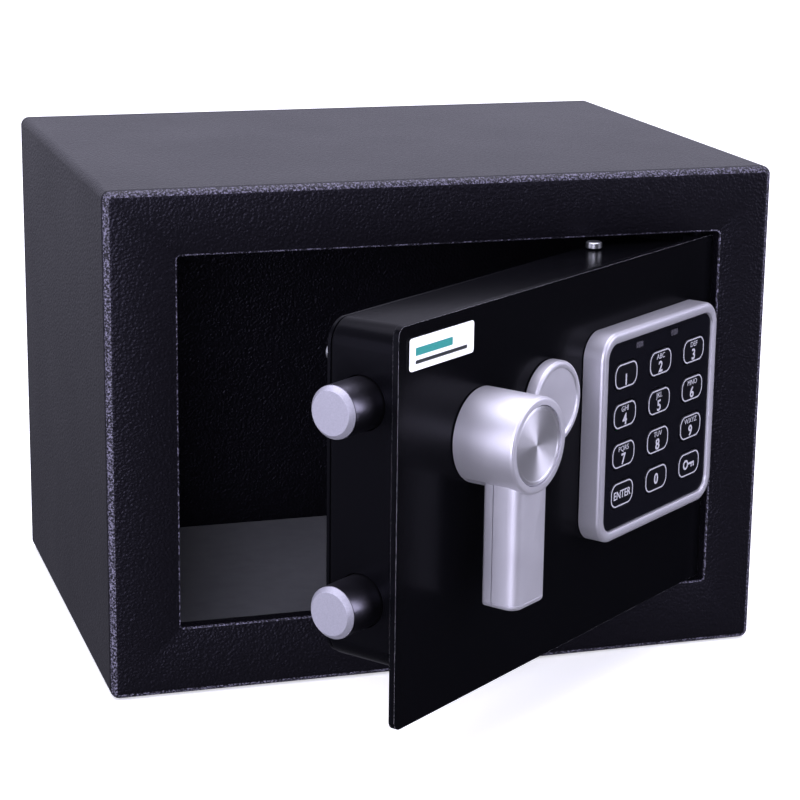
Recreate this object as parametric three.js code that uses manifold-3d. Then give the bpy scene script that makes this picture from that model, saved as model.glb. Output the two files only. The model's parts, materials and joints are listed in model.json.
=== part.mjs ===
// A small electronic safe: a welded steel cabinet with its door standing open on two pin hinges.
// The door carries a lever handle, a keypad, an override lock under a cap, two bolts and their works.
// Millimetres, +Z up. The origin is the centre of the underside, and the doorway faces -Y.
import * as THREE from "three";
import { mergeVertices } from "three/addons/utils/BufferGeometryUtils.js";
import Module from "manifold-3d";

const wasm = await Module();
wasm.setup();

// ---- Driving dimensions ----

const GAP = 0.3; // daylight between two pieces that touch
const WIDTH = 230;
const DEPTH = 170;
const HEIGHT = 170;
const SHEET = 1.5; // cabinet sheet steel
const CORNER = 3; // folded outer corners of the cabinet
const FRAME_THICK = 3; // front frame plate

// The cabinet is drawn from the front left foot: x to the right, y into the depth, z up.
const DOORWAY = { left: 23.5, right: 211.2, bottom: 23.5, top: 148.5 };
const FLANGE_REAR = 5.5; // how deep the doorway's return flange reaches
const ANCHOR_RADIUS = 5;
const ANCHOR_SPACING = 130;

const HINGE = { x: 205, y: 4.8, pin: 2, bore: 2.35 };
const OPEN_ANGLE = 37; // degrees that the door stands open

// The door is drawn closed: u from its left edge, v into the depth from its front face, z up.
const DOOR_LEFT = 25; // the door's left edge in the cabinet's x
const DOOR = { right: 184, bottom: 25, top: 147, thick: 2, corner: 3, chamfer: 1.2 };
const TRAY = { left: 2.3, right: 176, bottom: 41.5, top: 145.5, front: 2.3, rear: 26, wall: 1.2, corner: 8 };
const LIP = { side: 7, bottom: 4 }; // the tray's rear lip, which the inner cover screws to
const COVER = { front: TRAY.rear + GAP, rear: TRAY.rear + GAP + 1.2 };

const BOLT = { radius: 8, tip: -12.7, shoulder: 20, tail: 26.5, tailRadius: 4, v: 14.5, heights: [62.2, 122.4] };
const HUB = { u: 42, z: 107, radius: 14.75, front: -21.3, back: -0.4 };
const LEVER = { halfWidth: 9, front: -20, back: -7.7, bottom: 57, seam: -11.2 };
const CRANK = { arm: 13, start: 30, pin: 2.5, radius: 8, front: 14, back: 17 }; // the crank pin starts 30 degrees left of upright
const SPINDLE_RADIUS = 4.9;
const SPINDLE_BORE = 5.2;

const LOCK = { u: 79, z: 109.5, barrel: 8, bore: 5.7, plug: 5.4, flange: 10.5, rear: 19.7 };
const KEY_COVER_RADIUS = 13.5;

const KEYPAD = { left: 100, right: 174.5, bottom: 57.5, top: 127, front: -7.8, corner: 8.5, rim: 3.2 };
const KEY = { width: 14.4, height: 8.7, corner: 3.6, front: -7.3, back: -4.6 };
const KEY_COLUMNS = [115.2, 137.2, 159.2];
const KEY_ROWS = [112, 98.8, 85.5, 72.3];
const KEY_NAMES = ["1", "2", "3", "4", "5", "6", "7", "8", "9", "enter", "0", "unlock"];
const LED = { columns: [123.7, 146.1], z: 120.5, width: 4, height: 2 };

const BATTERY = { radius: 7, bottom: 46.3, top: 96.8, nub: 1, v: 16.6 };
const BATTERY_TRAY = { left: 56, right: 116, bottom: 44.5, top: 98.5, front: 7.5, rear: 24.4, wall: 1.2 };
const RESET = { u: 150, z: 118, radius: 2.6 };
const SOLENOID = { u: 47.5, v: 20.2, bottom: 131.3, top: 144, left: 41, right: 57, front: 9, rear: 23.6 };

// ---- Solids ----

// A closed geometry as a manifold-3d solid.
function toSolid(geometry) {
  const bare = geometry.index ? geometry.toNonIndexed() : geometry.clone();
  bare.deleteAttribute("normal");
  bare.deleteAttribute("uv");
  const merged = mergeVertices(bare, 1e-4);
  return new wasm.Manifold(
    new wasm.Mesh({
      numProp: 3,
      vertProperties: merged.attributes.position.array,
      triVerts: new Uint32Array(merged.index.array),
    }),
  );
}

function toGeometry(solid) {
  const mesh = solid.getMesh();
  return new THREE.BufferGeometry()
    .setAttribute("position", new THREE.BufferAttribute(mesh.vertProperties, 3))
    .setIndex(new THREE.BufferAttribute(mesh.triVerts, 1));
}

function combine(operation, first, rest) {
  const solid = rest.reduce((sum, tool) => sum[operation](toSolid(tool)), toSolid(first));
  return toGeometry(solid);
}

const join = (first, ...rest) => combine("add", first, rest);
const cut = (first, ...rest) => combine("subtract", first, rest);
const common = (first, ...rest) => combine("intersect", first, rest);

// ---- Shapes ----

function roundedRect(left, bottom, right, top, radius, path = new THREE.Shape()) {
  path.moveTo(left + radius, bottom);
  path.lineTo(right - radius, bottom);
  path.absarc(right - radius, bottom + radius, radius, -Math.PI / 2, 0);
  path.lineTo(right, top - radius);
  path.absarc(right - radius, top - radius, radius, 0, Math.PI / 2);
  path.lineTo(left + radius, top);
  path.absarc(left + radius, top - radius, radius, Math.PI / 2, Math.PI);
  path.lineTo(left, bottom + radius);
  path.absarc(left + radius, bottom + radius, radius, Math.PI, 1.5 * Math.PI);
  return path;
}

// A shape drawn in x and z, made solid from front to back along y, with every edge rounded by bevel.
function plate(shape, front, back, bevel = 0, bevelSteps = 1, curveSteps = 3) {
  const geometry = new THREE.ExtrudeGeometry(shape, {
    depth: back - front - 2 * bevel,
    bevelEnabled: bevel > 0,
    bevelThickness: bevel,
    bevelSize: bevel,
    bevelOffset: -bevel,
    bevelSegments: bevelSteps,
    curveSegments: curveSteps,
  });
  return geometry.rotateX(Math.PI / 2).translate(0, back - bevel, 0);
}

function box(x0, y0, z0, x1, y1, z1) {
  const geometry = new THREE.BoxGeometry(x1 - x0, y1 - y0, z1 - z0);
  return geometry.translate((x0 + x1) / 2, (y0 + y1) / 2, (z0 + z1) / 2);
}

// Round bars along each direction.
function rodX(y, z, radius, left, right, sides = 20) {
  const geometry = new THREE.CylinderGeometry(radius, radius, right - left, sides);
  return geometry.rotateZ(Math.PI / 2).translate((left + right) / 2, y, z);
}

function rodY(x, z, radius, front, back, sides = 16) {
  const geometry = new THREE.CylinderGeometry(radius, radius, back - front, sides);
  return geometry.translate(x, (front + back) / 2, z);
}

function rodZ(x, y, radius, bottom, top, sides = 16) {
  const geometry = new THREE.CylinderGeometry(radius, radius, top - bottom, sides);
  return geometry.rotateX(Math.PI / 2).translate(x, y, (bottom + top) / 2);
}

// A profile of [radius, distance along the axis] points, distance rising, turned about y.
function turned(profile, sides = 24) {
  return new THREE.LatheGeometry(
    profile.map(([radius, along]) => new THREE.Vector2(radius, along)),
    sides,
  );
}

// ---- Materials and assembly ----

function finish(color, roughness, metalness) {
  return new THREE.MeshStandardMaterial({ color, roughness, metalness });
}

const texturedBlack = finish(0x26252b, 0.7, 0.2);
const satinBlack = finish(0x131216, 0.4, 0.2);
const zinc = finish(0xb9b9bd, 0.3, 0.9);
const satinSilver = finish(0xb3b1b8, 0.35, 0.8);
const glossBlack = finish(0x0c0c0e, 0.15, 0);
const felt = finish(0x6e6f75, 1, 0);
const circuitGreen = finish(0x1f5a3a, 0.5, 0);
const batteryWrap = finish(0x39506e, 0.4, 0.2);
const brass = finish(0xb9974e, 0.35, 0.9);
const whiteLabel = finish(0xf2f2f0, 0.5, 0);
const redPlastic = finish(0xa52a22, 0.45, 0);
const lens = finish(0x4a4038, 0.3, 0);

function add(group, name, geometry, material) {
  const mesh = new THREE.Mesh(geometry, material);
  mesh.name = name;
  group.add(mesh);
}

const safe = new THREE.Group();

const cabinet = new THREE.Group();
cabinet.position.set(-WIDTH / 2, -DEPTH / 2, 0);
safe.add(cabinet);

// The hinge group turns about the pins' axis. The door group inside it is drawn closed.
const hingeAxis = new THREE.Group();
hingeAxis.position.set(HINGE.x, HINGE.y, 0);
hingeAxis.rotation.z = THREE.MathUtils.degToRad(OPEN_ANGLE);
cabinet.add(hingeAxis);

const door = new THREE.Group();
door.position.set(DOOR_LEFT - HINGE.x, -HINGE.y, 0);
hingeAxis.add(door);

const PIN_U = HINGE.x - DOOR_LEFT;
const PIN_V = HINGE.y;

// ---- Cabinet ----

// The doorway's outline, grown outwards by a margin.
function doorwayOutline(margin, path) {
  return roundedRect(
    DOORWAY.left - margin,
    DOORWAY.bottom - margin,
    DOORWAY.right + margin,
    DOORWAY.top + margin,
    1.2 + margin,
    path,
  );
}

// A plate with rounded front edges, and a return flange folded inwards round the doorway.
function frontFrame() {
  const edge = 2.5;
  const outline = roundedRect(0, 0, WIDTH, HEIGHT, CORNER);
  const twiceAsThick = plate(outline, 0, 2 * FRAME_THICK, edge, 3);
  const face = common(twiceAsThick, box(-1, -1, -1, WIDTH + 1, FRAME_THICK, HEIGHT + 1));
  const flange = plate(doorwayOutline(SHEET), FRAME_THICK - 0.5, FLANGE_REAR);
  const doorway = plate(doorwayOutline(0), -1, FLANGE_REAR + 1);
  const reliefRadius = HINGE.pin + 1;
  const reliefReach = 5;
  const upperRelief = rodZ(HINGE.x, HINGE.y, reliefRadius, DOORWAY.top - 1, DOORWAY.top + reliefReach);
  const lowerRelief = rodZ(HINGE.x, HINGE.y, reliefRadius, DOORWAY.bottom - reliefReach, DOORWAY.bottom + 1);
  return cut(join(face, flange), doorway, upperRelief, lowerRelief);
}

// One sheet folded round into a sleeve, with two anchor holes through its floor.
function bodyWrap() {
  const outline = roundedRect(0, 0, WIDTH, HEIGHT, CORNER);
  const inside = new THREE.Path();
  roundedRect(SHEET, SHEET, WIDTH - SHEET, HEIGHT - SHEET, CORNER - SHEET, inside);
  outline.holes.push(inside);
  const sleeve = plate(outline, FRAME_THICK + GAP, DEPTH - SHEET - GAP);
  return cut(sleeve, ...anchorPlaces().map((x) => rodZ(x, DEPTH / 2, ANCHOR_RADIUS, -1, SHEET + 1)));
}

function anchorPlaces() {
  return [-0.5, 0.5].map((side) => WIDTH / 2 + side * ANCHOR_SPACING);
}

function backPanel() {
  const panel = plate(roundedRect(0, 0, WIDTH, HEIGHT, CORNER), DEPTH - SHEET, DEPTH);
  const holes = anchorPlaces().map((x) => rodY(x, HEIGHT / 2, ANCHOR_RADIUS, DEPTH - 3, DEPTH + 1));
  return cut(panel, ...holes);
}

// A flat tab welded behind the frame, which a hinge pin turns in.
function hingePlate(bottom) {
  const thickness = 3;
  const outline = box(HINGE.x - 9, FRAME_THICK + GAP, bottom, HINGE.x + 9, 16, bottom + thickness);
  return cut(outline, rodZ(HINGE.x, HINGE.y, HINGE.bore, bottom - 1, bottom + thickness + 1));
}

const MAT_BOTTOM = SHEET + GAP;
const MAT_THICK = 2;

add(cabinet, "front_frame", frontFrame(), texturedBlack);
add(cabinet, "body_wrap", bodyWrap(), texturedBlack);
add(cabinet, "back_panel", backPanel(), texturedBlack);
add(
  cabinet,
  "floor_mat",
  box(3, FRAME_THICK + 1, MAT_BOTTOM, WIDTH - 3, DEPTH - 3, MAT_BOTTOM + MAT_THICK),
  felt,
);
add(cabinet, "upper_hinge_plate", hingePlate(DOORWAY.top + SHEET + GAP), satinBlack);
add(cabinet, "lower_hinge_plate", hingePlate(DOORWAY.bottom - SHEET - GAP - 3), satinBlack);

// ---- Door shell ----

// The front plate, with its holes and the chamfer that lets its hinge edge swing past the frame.
function doorPlate() {
  const slab = plate(
    roundedRect(0, DOOR.bottom, DOOR.right, DOOR.top, DOOR.corner),
    0,
    DOOR.thick,
    0.4,
  );
  const wedge = box(-DOOR.chamfer, -DOOR.chamfer, -70, DOOR.chamfer, DOOR.chamfer, 70);
  wedge.scale(Math.SQRT1_2, Math.SQRT1_2, 1).rotateZ(Math.PI / 4);
  wedge.translate(DOOR.right, 0, (DOOR.bottom + DOOR.top) / 2);
  const spindleHole = rodY(HUB.u, HUB.z, 7.4, -1, 4);
  const lockHole = rodY(LOCK.u, LOCK.z, LOCK.barrel + 0.4, -1, 4, 32);
  const cableHole = rodY(KEY_COLUMNS[1], 92, 5, -1, 4);
  return cut(slab, wedge, spindleHole, lockHole, cableHole);
}

function trayOutline(inset, path) {
  return roundedRect(
    TRAY.left + inset,
    TRAY.bottom + inset,
    TRAY.right - inset,
    TRAY.top - inset,
    TRAY.corner - inset,
    path,
  );
}

// Four folded walls behind the plate, with a lip at the rear and a hole for each bolt.
function doorTray() {
  const walls = trayOutline(0);
  const hollow = new THREE.Path();
  trayOutline(TRAY.wall, hollow);
  walls.holes.push(hollow);
  const lip = trayOutline(0);
  const window = new THREE.Path();
  roundedRect(
    TRAY.left + LIP.side,
    TRAY.bottom + LIP.bottom,
    TRAY.right - LIP.side,
    TRAY.top - LIP.side,
    2,
    window,
  );
  lip.holes.push(window);
  const boltHoles = BOLT.heights.map((z) => rodX(BOLT.v, z, BOLT.radius + 0.4, 0, 6, 24));
  return cut(
    join(
      plate(walls, TRAY.front, TRAY.rear - 0.5, 0, 1, 5),
      plate(lip, TRAY.rear - TRAY.wall, TRAY.rear, 0, 1, 5),
    ),
    ...boltHoles,
    ...screwPlaces().map(([u, z]) => rodY(u, z, 1.8, TRAY.rear - 3, TRAY.rear + 1, 8)),
  );
}

function screwPlaces() {
  const left = TRAY.left + LIP.side / 2 + 0.5;
  const right = TRAY.right - LIP.side / 2 - 0.5;
  return [left, right].flatMap((u) => [52, 135].map((z) => [u, z]));
}

const BATTERY_WINDOW = { left: 56.5, right: 115.5, bottom: 45.5, top: 98 };

// The plate over the works, with a window for the batteries and a hole for the reset button.
function innerCover() {
  const plateSolid = plate(trayOutline(0.4), COVER.front, COVER.rear, 0, 1, 5);
  const { left, right, bottom, top } = BATTERY_WINDOW;
  const window = plate(roundedRect(left, bottom, right, top, 2), COVER.front - 1, COVER.rear + 1, 0, 1, 2);
  return cut(
    plateSolid,
    window,
    rodY(RESET.u, RESET.z, RESET.radius + 0.4, COVER.front - 1, COVER.rear + 1),
    ...screwPlaces().map(([u, z]) => rodY(u, z, 1.8, COVER.front - 1, COVER.rear + 1, 8)),
  );
}

// A pan-head screw, driven in from the rear, with a cross slot.
function coverScrew(u, z) {
  const seat = COVER.rear + GAP;
  const screw = turned(
    [
      [0, TRAY.rear - 3.5],
      [1.4, TRAY.rear - 3.5],
      [1.4, seat],
      [3, seat],
      [3, seat + 0.6],
      [2.3, seat + 1.2],
      [0, seat + 1.4],
    ],
    10,
  ).translate(u, 0, z);
  const slotDepth = seat + 0.6;
  return cut(
    screw,
    box(u - 1.7, slotDepth, z - 0.3, u + 1.7, slotDepth + 2, z + 0.3),
    box(u - 0.3, slotDepth, z - 1.7, u + 0.3, slotDepth + 2, z + 1.7),
  );
}

// A block welded behind the plate with the hinge pin standing out of its end.
function hingePin(blockBottom, blockTop, pinBottom, pinTop) {
  const block = box(PIN_U - 3.2, DOOR.thick + GAP, blockBottom, PIN_U + 2.6, PIN_V + 3.5, blockTop);
  return join(block, rodZ(PIN_U, PIN_V, HINGE.pin, pinBottom, pinTop));
}

add(door, "door_plate", doorPlate(), satinBlack);
add(door, "door_tray", doorTray(), satinBlack);
add(door, "inner_cover", innerCover(), satinBlack);
screwPlaces().forEach(([u, z], index) => {
  add(door, `cover_screw_${index + 1}`, coverScrew(u, z), zinc);
});
add(door, "upper_hinge_pin", hingePin(128, 146.7, 146, 152.5), zinc);
add(door, "lower_hinge_pin", hingePin(25.3, 44, 19.5, 26), zinc);
add(door, "stop_pin", rodZ(141, 22, 2.7, TRAY.top + GAP, DOORWAY.top - 0.5), zinc);
add(
  door,
  "name_label",
  plate(roundedRect(4.8, 133.3, 37, 143, 1), -GAP - 0.3, -GAP, 0, 1, 3),
  whiteLabel,
);

// ---- Keypad ----

function keypadOutline(inset, path) {
  return roundedRect(
    KEYPAD.left + inset,
    KEYPAD.bottom + inset,
    KEYPAD.right - inset,
    KEYPAD.top - inset,
    KEYPAD.corner - inset,
    path,
  );
}

const OVERLAY = { front: -7, back: -5.3 };
const LEDGE = OVERLAY.back + GAP;

// A moulded frame: a rim round the front, a ledge that the overlay rests on, and an open back.
function keypadHousing() {
  const roundedBothEnds = plate(keypadOutline(0), KEYPAD.front, 6, 1.6, 2, 5);
  const shell = common(roundedBothEnds, box(90, -10, 50, 185, -GAP, 135));
  const frontPocket = plate(keypadOutline(KEYPAD.rim), KEYPAD.front - 1, LEDGE, 0, 1, 4);
  const rearPocket = plate(keypadOutline(KEYPAD.rim + 1.8), LEDGE - 1, 1, 0, 1, 3);
  return cut(shell, frontPocket, rearPocket);
}

function keyShape(u, z, grow, path) {
  return roundedRect(
    u - KEY.width / 2 - grow,
    z - KEY.height / 2 - grow,
    u + KEY.width / 2 + grow,
    z + KEY.height / 2 + grow,
    KEY.corner + grow,
    path,
  );
}

function keypadOverlay() {
  const panel = keypadOutline(KEYPAD.rim + GAP);
  for (const z of KEY_ROWS) {
    for (const u of KEY_COLUMNS) {
      const hole = new THREE.Path();
      keyShape(u, z, GAP, hole);
      panel.holes.push(hole);
    }
  }
  for (const u of LED.columns) {
    const window = new THREE.Path();
    const halfWidth = LED.width / 2 + GAP;
    const halfHeight = LED.height / 2 + GAP;
    roundedRect(u - halfWidth, LED.z - halfHeight, u + halfWidth, LED.z + halfHeight, 0.4, window);
    panel.holes.push(window);
  }
  return plate(panel, OVERLAY.front, OVERLAY.back, 0, 1, 3);
}

function ledLens(u) {
  const shape = roundedRect(
    u - LED.width / 2,
    LED.z - LED.height / 2,
    u + LED.width / 2,
    LED.z + LED.height / 2,
    0.3,
  );
  return plate(shape, OVERLAY.front - 0.1, -4.4, 0, 1, 1);
}

add(door, "keypad_housing", keypadHousing(), satinSilver);
add(door, "keypad_overlay", keypadOverlay(), glossBlack);
add(door, "keypad_board", plate(keypadOutline(5.5), -3.6, -2, 0, 1, 3), circuitGreen);
add(door, "led_left", ledLens(LED.columns[0]), lens);
add(door, "led_right", ledLens(LED.columns[1]), lens);
KEY_NAMES.forEach((name, index) => {
  const u = KEY_COLUMNS[index % KEY_COLUMNS.length];
  const z = KEY_ROWS[Math.floor(index / KEY_COLUMNS.length)];
  const key = plate(keyShape(u, z, 0), KEY.front, KEY.back);
  add(door, `key_${name}`, key, glossBlack);
});

// ---- Handle and spindle ----

// The hub and the lever as one body, before it is split into a front shell and a back.
function wholeHandle() {
  const edge = 0.9;
  const hub = turned(
    [
      [0, HUB.front],
      [HUB.radius - edge, HUB.front],
      [HUB.radius - 0.3 * edge, HUB.front + 0.3 * edge],
      [HUB.radius, HUB.front + edge],
      [HUB.radius, HUB.back],
      [0, HUB.back],
    ],
    36,
  ).translate(HUB.u, 0, HUB.z);
  return join(hub, leverBar());
}

// A bar with rounded front corners, hanging from the hub.
function leverBar() {
  const { halfWidth, front, back, bottom } = LEVER;
  const frontRadius = 4;
  const rearRadius = 1.2;
  const chamfer = 0.9;
  const section = new THREE.Shape();
  section.moveTo(-halfWidth + frontRadius, front);
  section.lineTo(halfWidth - frontRadius, front);
  section.absarc(halfWidth - frontRadius, front + frontRadius, frontRadius, -Math.PI / 2, 0);
  section.lineTo(halfWidth, back - rearRadius);
  section.absarc(halfWidth - rearRadius, back - rearRadius, rearRadius, 0, Math.PI / 2);
  section.lineTo(-halfWidth + rearRadius, back);
  section.absarc(-halfWidth + rearRadius, back - rearRadius, rearRadius, Math.PI / 2, Math.PI);
  section.lineTo(-halfWidth, front + frontRadius);
  section.absarc(-halfWidth + frontRadius, front + frontRadius, frontRadius, Math.PI, 1.5 * Math.PI);
  const bar = new THREE.ExtrudeGeometry(section, {
    depth: HUB.z - bottom - 2 * chamfer,
    bevelEnabled: true,
    bevelThickness: chamfer,
    bevelSize: chamfer,
    bevelOffset: -chamfer,
    bevelSegments: 1,
    curveSegments: 4,
  });
  return bar.translate(HUB.u, 0, bottom + chamfer);
}

const CAP = { radius: 12, recess: 12.3, floor: -19.6, back: -19.9, front: -21 };
const SPINDLE = { front: -14, rear: 18.5 };

// The block behind the lever and under the hub that the back casting fills.
function backBlock(margin) {
  const reachUp = Math.sqrt(HUB.radius ** 2 - LEVER.halfWidth ** 2);
  return box(
    HUB.u - LEVER.halfWidth - margin,
    LEVER.seam - margin,
    LEVER.bottom - 5,
    HUB.u + LEVER.halfWidth + margin,
    HUB.back + 1,
    HUB.z - reachUp + margin,
  );
}

function handleShell() {
  const bore = rodY(HUB.u, HUB.z, SPINDLE_BORE, SPINDLE.front - GAP, 1);
  const recess = rodY(HUB.u, HUB.z, CAP.recess, HUB.front - 1, CAP.floor, 36);
  return cut(wholeHandle(), backBlock(GAP), bore, recess);
}

// A spun disc with a shallow dish and a turned rim, set in the front of the hub.
function handleCap() {
  return turned(
    [
      [0, CAP.front + 0.5],
      [CAP.radius - 1.2, CAP.front + 0.25],
      [CAP.radius - 1, CAP.front],
      [CAP.radius - 0.3, CAP.front],
      [CAP.radius, CAP.front + 0.3],
      [CAP.radius, CAP.back],
      [0, CAP.back],
    ],
    36,
  ).translate(HUB.u, 0, HUB.z);
}

// A flanged bush in the door plate, which the spindle turns in.
function spindleBush() {
  const bush = turned(
    [
      [SPINDLE_BORE, 0],
      [7, 0],
      [7, DOOR.thick + GAP],
      [10, DOOR.thick + GAP],
      [10, 4.5],
      [SPINDLE_BORE, 4.5],
      [SPINDLE_BORE, 0],
    ],
    16,
  );
  return bush.translate(HUB.u, 0, HUB.z);
}

// The crank on the spindle's inner end. Its pin works in the bolt carrier's slot.
function spindleCam() {
  const start = THREE.MathUtils.degToRad(CRANK.start);
  const pinU = HUB.u - CRANK.arm * Math.sin(start);
  const pinZ = HUB.z + CRANK.arm * Math.cos(start);
  const { front, back } = CRANK;
  const web = box(-4, front, 0, 4, back, CRANK.arm).rotateY(-start).translate(HUB.u, 0, HUB.z);
  return cut(
    join(
      rodY(HUB.u, HUB.z, CRANK.radius, front, back, 24),
      web,
      rodY(pinU, pinZ, 4, front, back, 16),
      rodY(pinU, pinZ, CRANK.pin, front, 22, 16),
    ),
    rodY(HUB.u, HUB.z, SPINDLE_BORE, front - 1, back + 1, 16),
  );
}

add(door, "handle_back", common(wholeHandle(), backBlock(0)), satinSilver);
add(door, "handle_shell", handleShell(), satinSilver);
add(door, "handle_cap", handleCap(), zinc);
add(door, "handle_spindle", rodY(HUB.u, HUB.z, SPINDLE_RADIUS, SPINDLE.front, SPINDLE.rear, 20), zinc);
add(door, "spindle_bush", spindleBush(), brass);
add(door, "spindle_cam", spindleCam(), zinc);

// ---- Bolts ----

// A round bolt with a chamfered nose and a thinner tail that the carrier holds.
function lockingBolt(z) {
  const chamfer = 1.8;
  const bolt = turned(
    [
      [0, BOLT.tip],
      [BOLT.radius - chamfer, BOLT.tip],
      [BOLT.radius, BOLT.tip + chamfer],
      [BOLT.radius, BOLT.shoulder],
      [BOLT.tailRadius, BOLT.shoulder],
      [BOLT.tailRadius, BOLT.tail],
      [0, BOLT.tail],
    ],
    28,
  );
  return bolt.rotateZ(-Math.PI / 2).translate(0, BOLT.v, z);
}

const CARRIER = { left: BOLT.shoulder + GAP, thick: 3, bottom: 50, top: 134, front: 6, rear: 23 };
const ARM = { right: 42.5, bottom: 113.3, top: 125, front: 19.2, rear: 21.2 };

// A bar that joins both bolts, with an arm whose slot the crank pin drives.
// A window in the bar lets it slide past the round end of the crank.
function boltCarrier() {
  const start = THREE.MathUtils.degToRad(CRANK.start);
  const pinU = HUB.u - CRANK.arm * Math.sin(start);
  const slotHalf = CRANK.pin + 0.7;
  const bar = box(
    CARRIER.left,
    CARRIER.front,
    CARRIER.bottom,
    CARRIER.left + CARRIER.thick,
    CARRIER.rear,
    CARRIER.top,
  );
  const crankWindow = box(
    CARRIER.left - 1,
    CRANK.front - 0.5,
    HUB.z - CRANK.radius - 0.7,
    CARRIER.left + CARRIER.thick + 1,
    CRANK.back + 0.5,
    HUB.z + CRANK.radius + 0.7,
  );
  const arm = box(CARRIER.left, ARM.front, ARM.bottom, ARM.right, ARM.rear, ARM.top);
  const slot = box(pinU - slotHalf, ARM.front - 1, 115, pinU + slotHalf, ARM.rear + 1, 123.2);
  const tailHoles = BOLT.heights.map((z) => {
    return rodX(BOLT.v, z, BOLT.tailRadius + 0.3, CARRIER.left - 1, CARRIER.left + CARRIER.thick + 1);
  });
  return cut(join(bar, arm), slot, crankWindow, ...tailHoles);
}

add(door, "bolt_lower", lockingBolt(BOLT.heights[0]), zinc);
add(door, "bolt_upper", lockingBolt(BOLT.heights[1]), zinc);
add(door, "bolt_carrier", boltCarrier(), zinc);

// ---- Solenoid ----

const PLUNGER = { radius: 2.5, bottom: 125.6, top: 141, collar: 4, collarBottom: 126.5, collarTop: 127.3 };
const SPRING = { radius: 3.1, wire: 0.35, turns: 3, bottom: 127.9, top: 130.7 };

function solenoidBody() {
  const { u, v, bottom, top, left, right, front, rear } = SOLENOID;
  return cut(
    box(left, front, bottom, right, rear, top),
    rodZ(u, v, PLUNGER.radius + 0.3, bottom - 1, top + 1, 16),
  );
}

// The pin that blocks the bolt carrier when it is down, with a collar for its spring.
function solenoidPlunger() {
  const { radius, bottom, top, collar, collarBottom, collarTop } = PLUNGER;
  return join(
    rodZ(SOLENOID.u, SOLENOID.v, radius, bottom, top, 16),
    rodZ(SOLENOID.u, SOLENOID.v, collar, collarBottom, collarTop, 16),
  );
}

class Helix extends THREE.Curve {
  getPoint(share, target = new THREE.Vector3()) {
    const angle = 2 * Math.PI * SPRING.turns * share;
    const bottom = SPRING.bottom + SPRING.wire;
    const top = SPRING.top - SPRING.wire;
    return target.set(
      SOLENOID.u + SPRING.radius * Math.cos(angle),
      SOLENOID.v + SPRING.radius * Math.sin(angle),
      bottom + share * (top - bottom),
    );
  }
}

function ring(radius, sides) {
  const shape = new THREE.Shape();
  for (let side = 0; side < sides; side++) {
    const angle = (2 * Math.PI * side) / sides;
    const point = [radius * Math.cos(angle), radius * Math.sin(angle)];
    if (side === 0) shape.moveTo(...point);
    else shape.lineTo(...point);
  }
  return shape;
}

function plungerSpring() {
  return new THREE.ExtrudeGeometry(ring(SPRING.wire, 4), {
    steps: 10 * SPRING.turns,
    extrudePath: new Helix(),
  });
}

add(door, "solenoid_body", solenoidBody(), zinc);
add(door, "solenoid_plunger", solenoidPlunger(), zinc);
add(door, "plunger_spring", plungerSpring(), zinc);

// ---- Override lock ----

function lockBarrel() {
  const front = -1.9;
  const barrel = turned(
    [
      [LOCK.bore, front],
      [LOCK.flange - 0.6, front],
      [LOCK.flange, front + 0.6],
      [LOCK.flange, -GAP],
      [LOCK.barrel, -GAP],
      [LOCK.barrel, LOCK.rear],
      [LOCK.bore, LOCK.rear],
      [LOCK.bore, front],
    ],
    20,
  );
  return barrel.translate(LOCK.u, 0, LOCK.z);
}

const CAM = { front: 20.2, back: 22.2, reach: 20 };

// The turning core, with a keyhole in its face and a stub at its end for the cam.
function lockPlug() {
  const front = -1.7;
  const plug = turned(
    [
      [0, front],
      [LOCK.plug, front],
      [LOCK.plug, LOCK.rear],
      [3, LOCK.rear],
      [3, CAM.back + 0.6],
      [0, CAM.back + 0.6],
    ],
    16,
  ).translate(LOCK.u, 0, LOCK.z);
  return cut(plug, box(LOCK.u - 0.8, front - 1, LOCK.z - 3.5, LOCK.u + 0.8, 6, LOCK.z + 3.5));
}

// The lever behind the lock, which points at the solenoid's plunger.
function lockCam() {
  const { u, z } = LOCK;
  const lever = join(
    rodY(u, z, 5.5, CAM.front, CAM.back, 16),
    box(u - CAM.reach, CAM.front, z - 3.5, u, CAM.back, z + 3.5),
  );
  return cut(lever, rodY(u, z, 3.3, CAM.front - 1, CAM.back + 1, 16));
}

// A turned cap that pulls off to show the lock.
function keyCover() {
  const front = -4.4;
  const back = -0.4;
  const recess = 11.2;
  const rim = 2.5;
  const cap = turned(
    [
      [0, front + 0.5],
      [KEY_COVER_RADIUS - rim, front + 0.5],
      [KEY_COVER_RADIUS - rim + 0.4, front],
      [KEY_COVER_RADIUS - 0.8, front],
      [KEY_COVER_RADIUS, front + 0.8],
      [KEY_COVER_RADIUS, back],
      [recess, back],
      [recess, back - 2],
      [0, back - 2],
    ],
    32,
  );
  return cap.translate(LOCK.u, 0, LOCK.z);
}

add(door, "lock_barrel", lockBarrel(), zinc);
add(door, "lock_plug", lockPlug(), brass);
add(door, "lock_cam", lockCam(), zinc);
add(door, "key_cover", keyCover(), satinSilver);

// ---- Batteries, reset button and wiring ----

function batteryTray() {
  const { left, right, bottom, top, front, rear, wall } = BATTERY_TRAY;
  return cut(
    box(left, front, bottom, right, rear, top),
    box(left + wall, front + wall, bottom + wall, right - wall, rear + 1, top - wall),
  );
}

// A dry cell stood on end. Neighbours face opposite ways.
function battery(u, turnedOver) {
  const { radius, bottom, top, nub, v } = BATTERY;
  const half = (top - bottom) / 2;
  const cell = turned(
    [
      [0, -half],
      [radius - 0.4, -half],
      [radius, 0.4 - half],
      [radius, half - nub - 0.4],
      [radius - 0.4, half - nub],
      [2.7, half - nub],
      [2.7, half],
      [0, half],
    ],
    14,
  );
  return cell.rotateX(turnedOver ? -Math.PI / 2 : Math.PI / 2).translate(u, v, (bottom + top) / 2);
}

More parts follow.
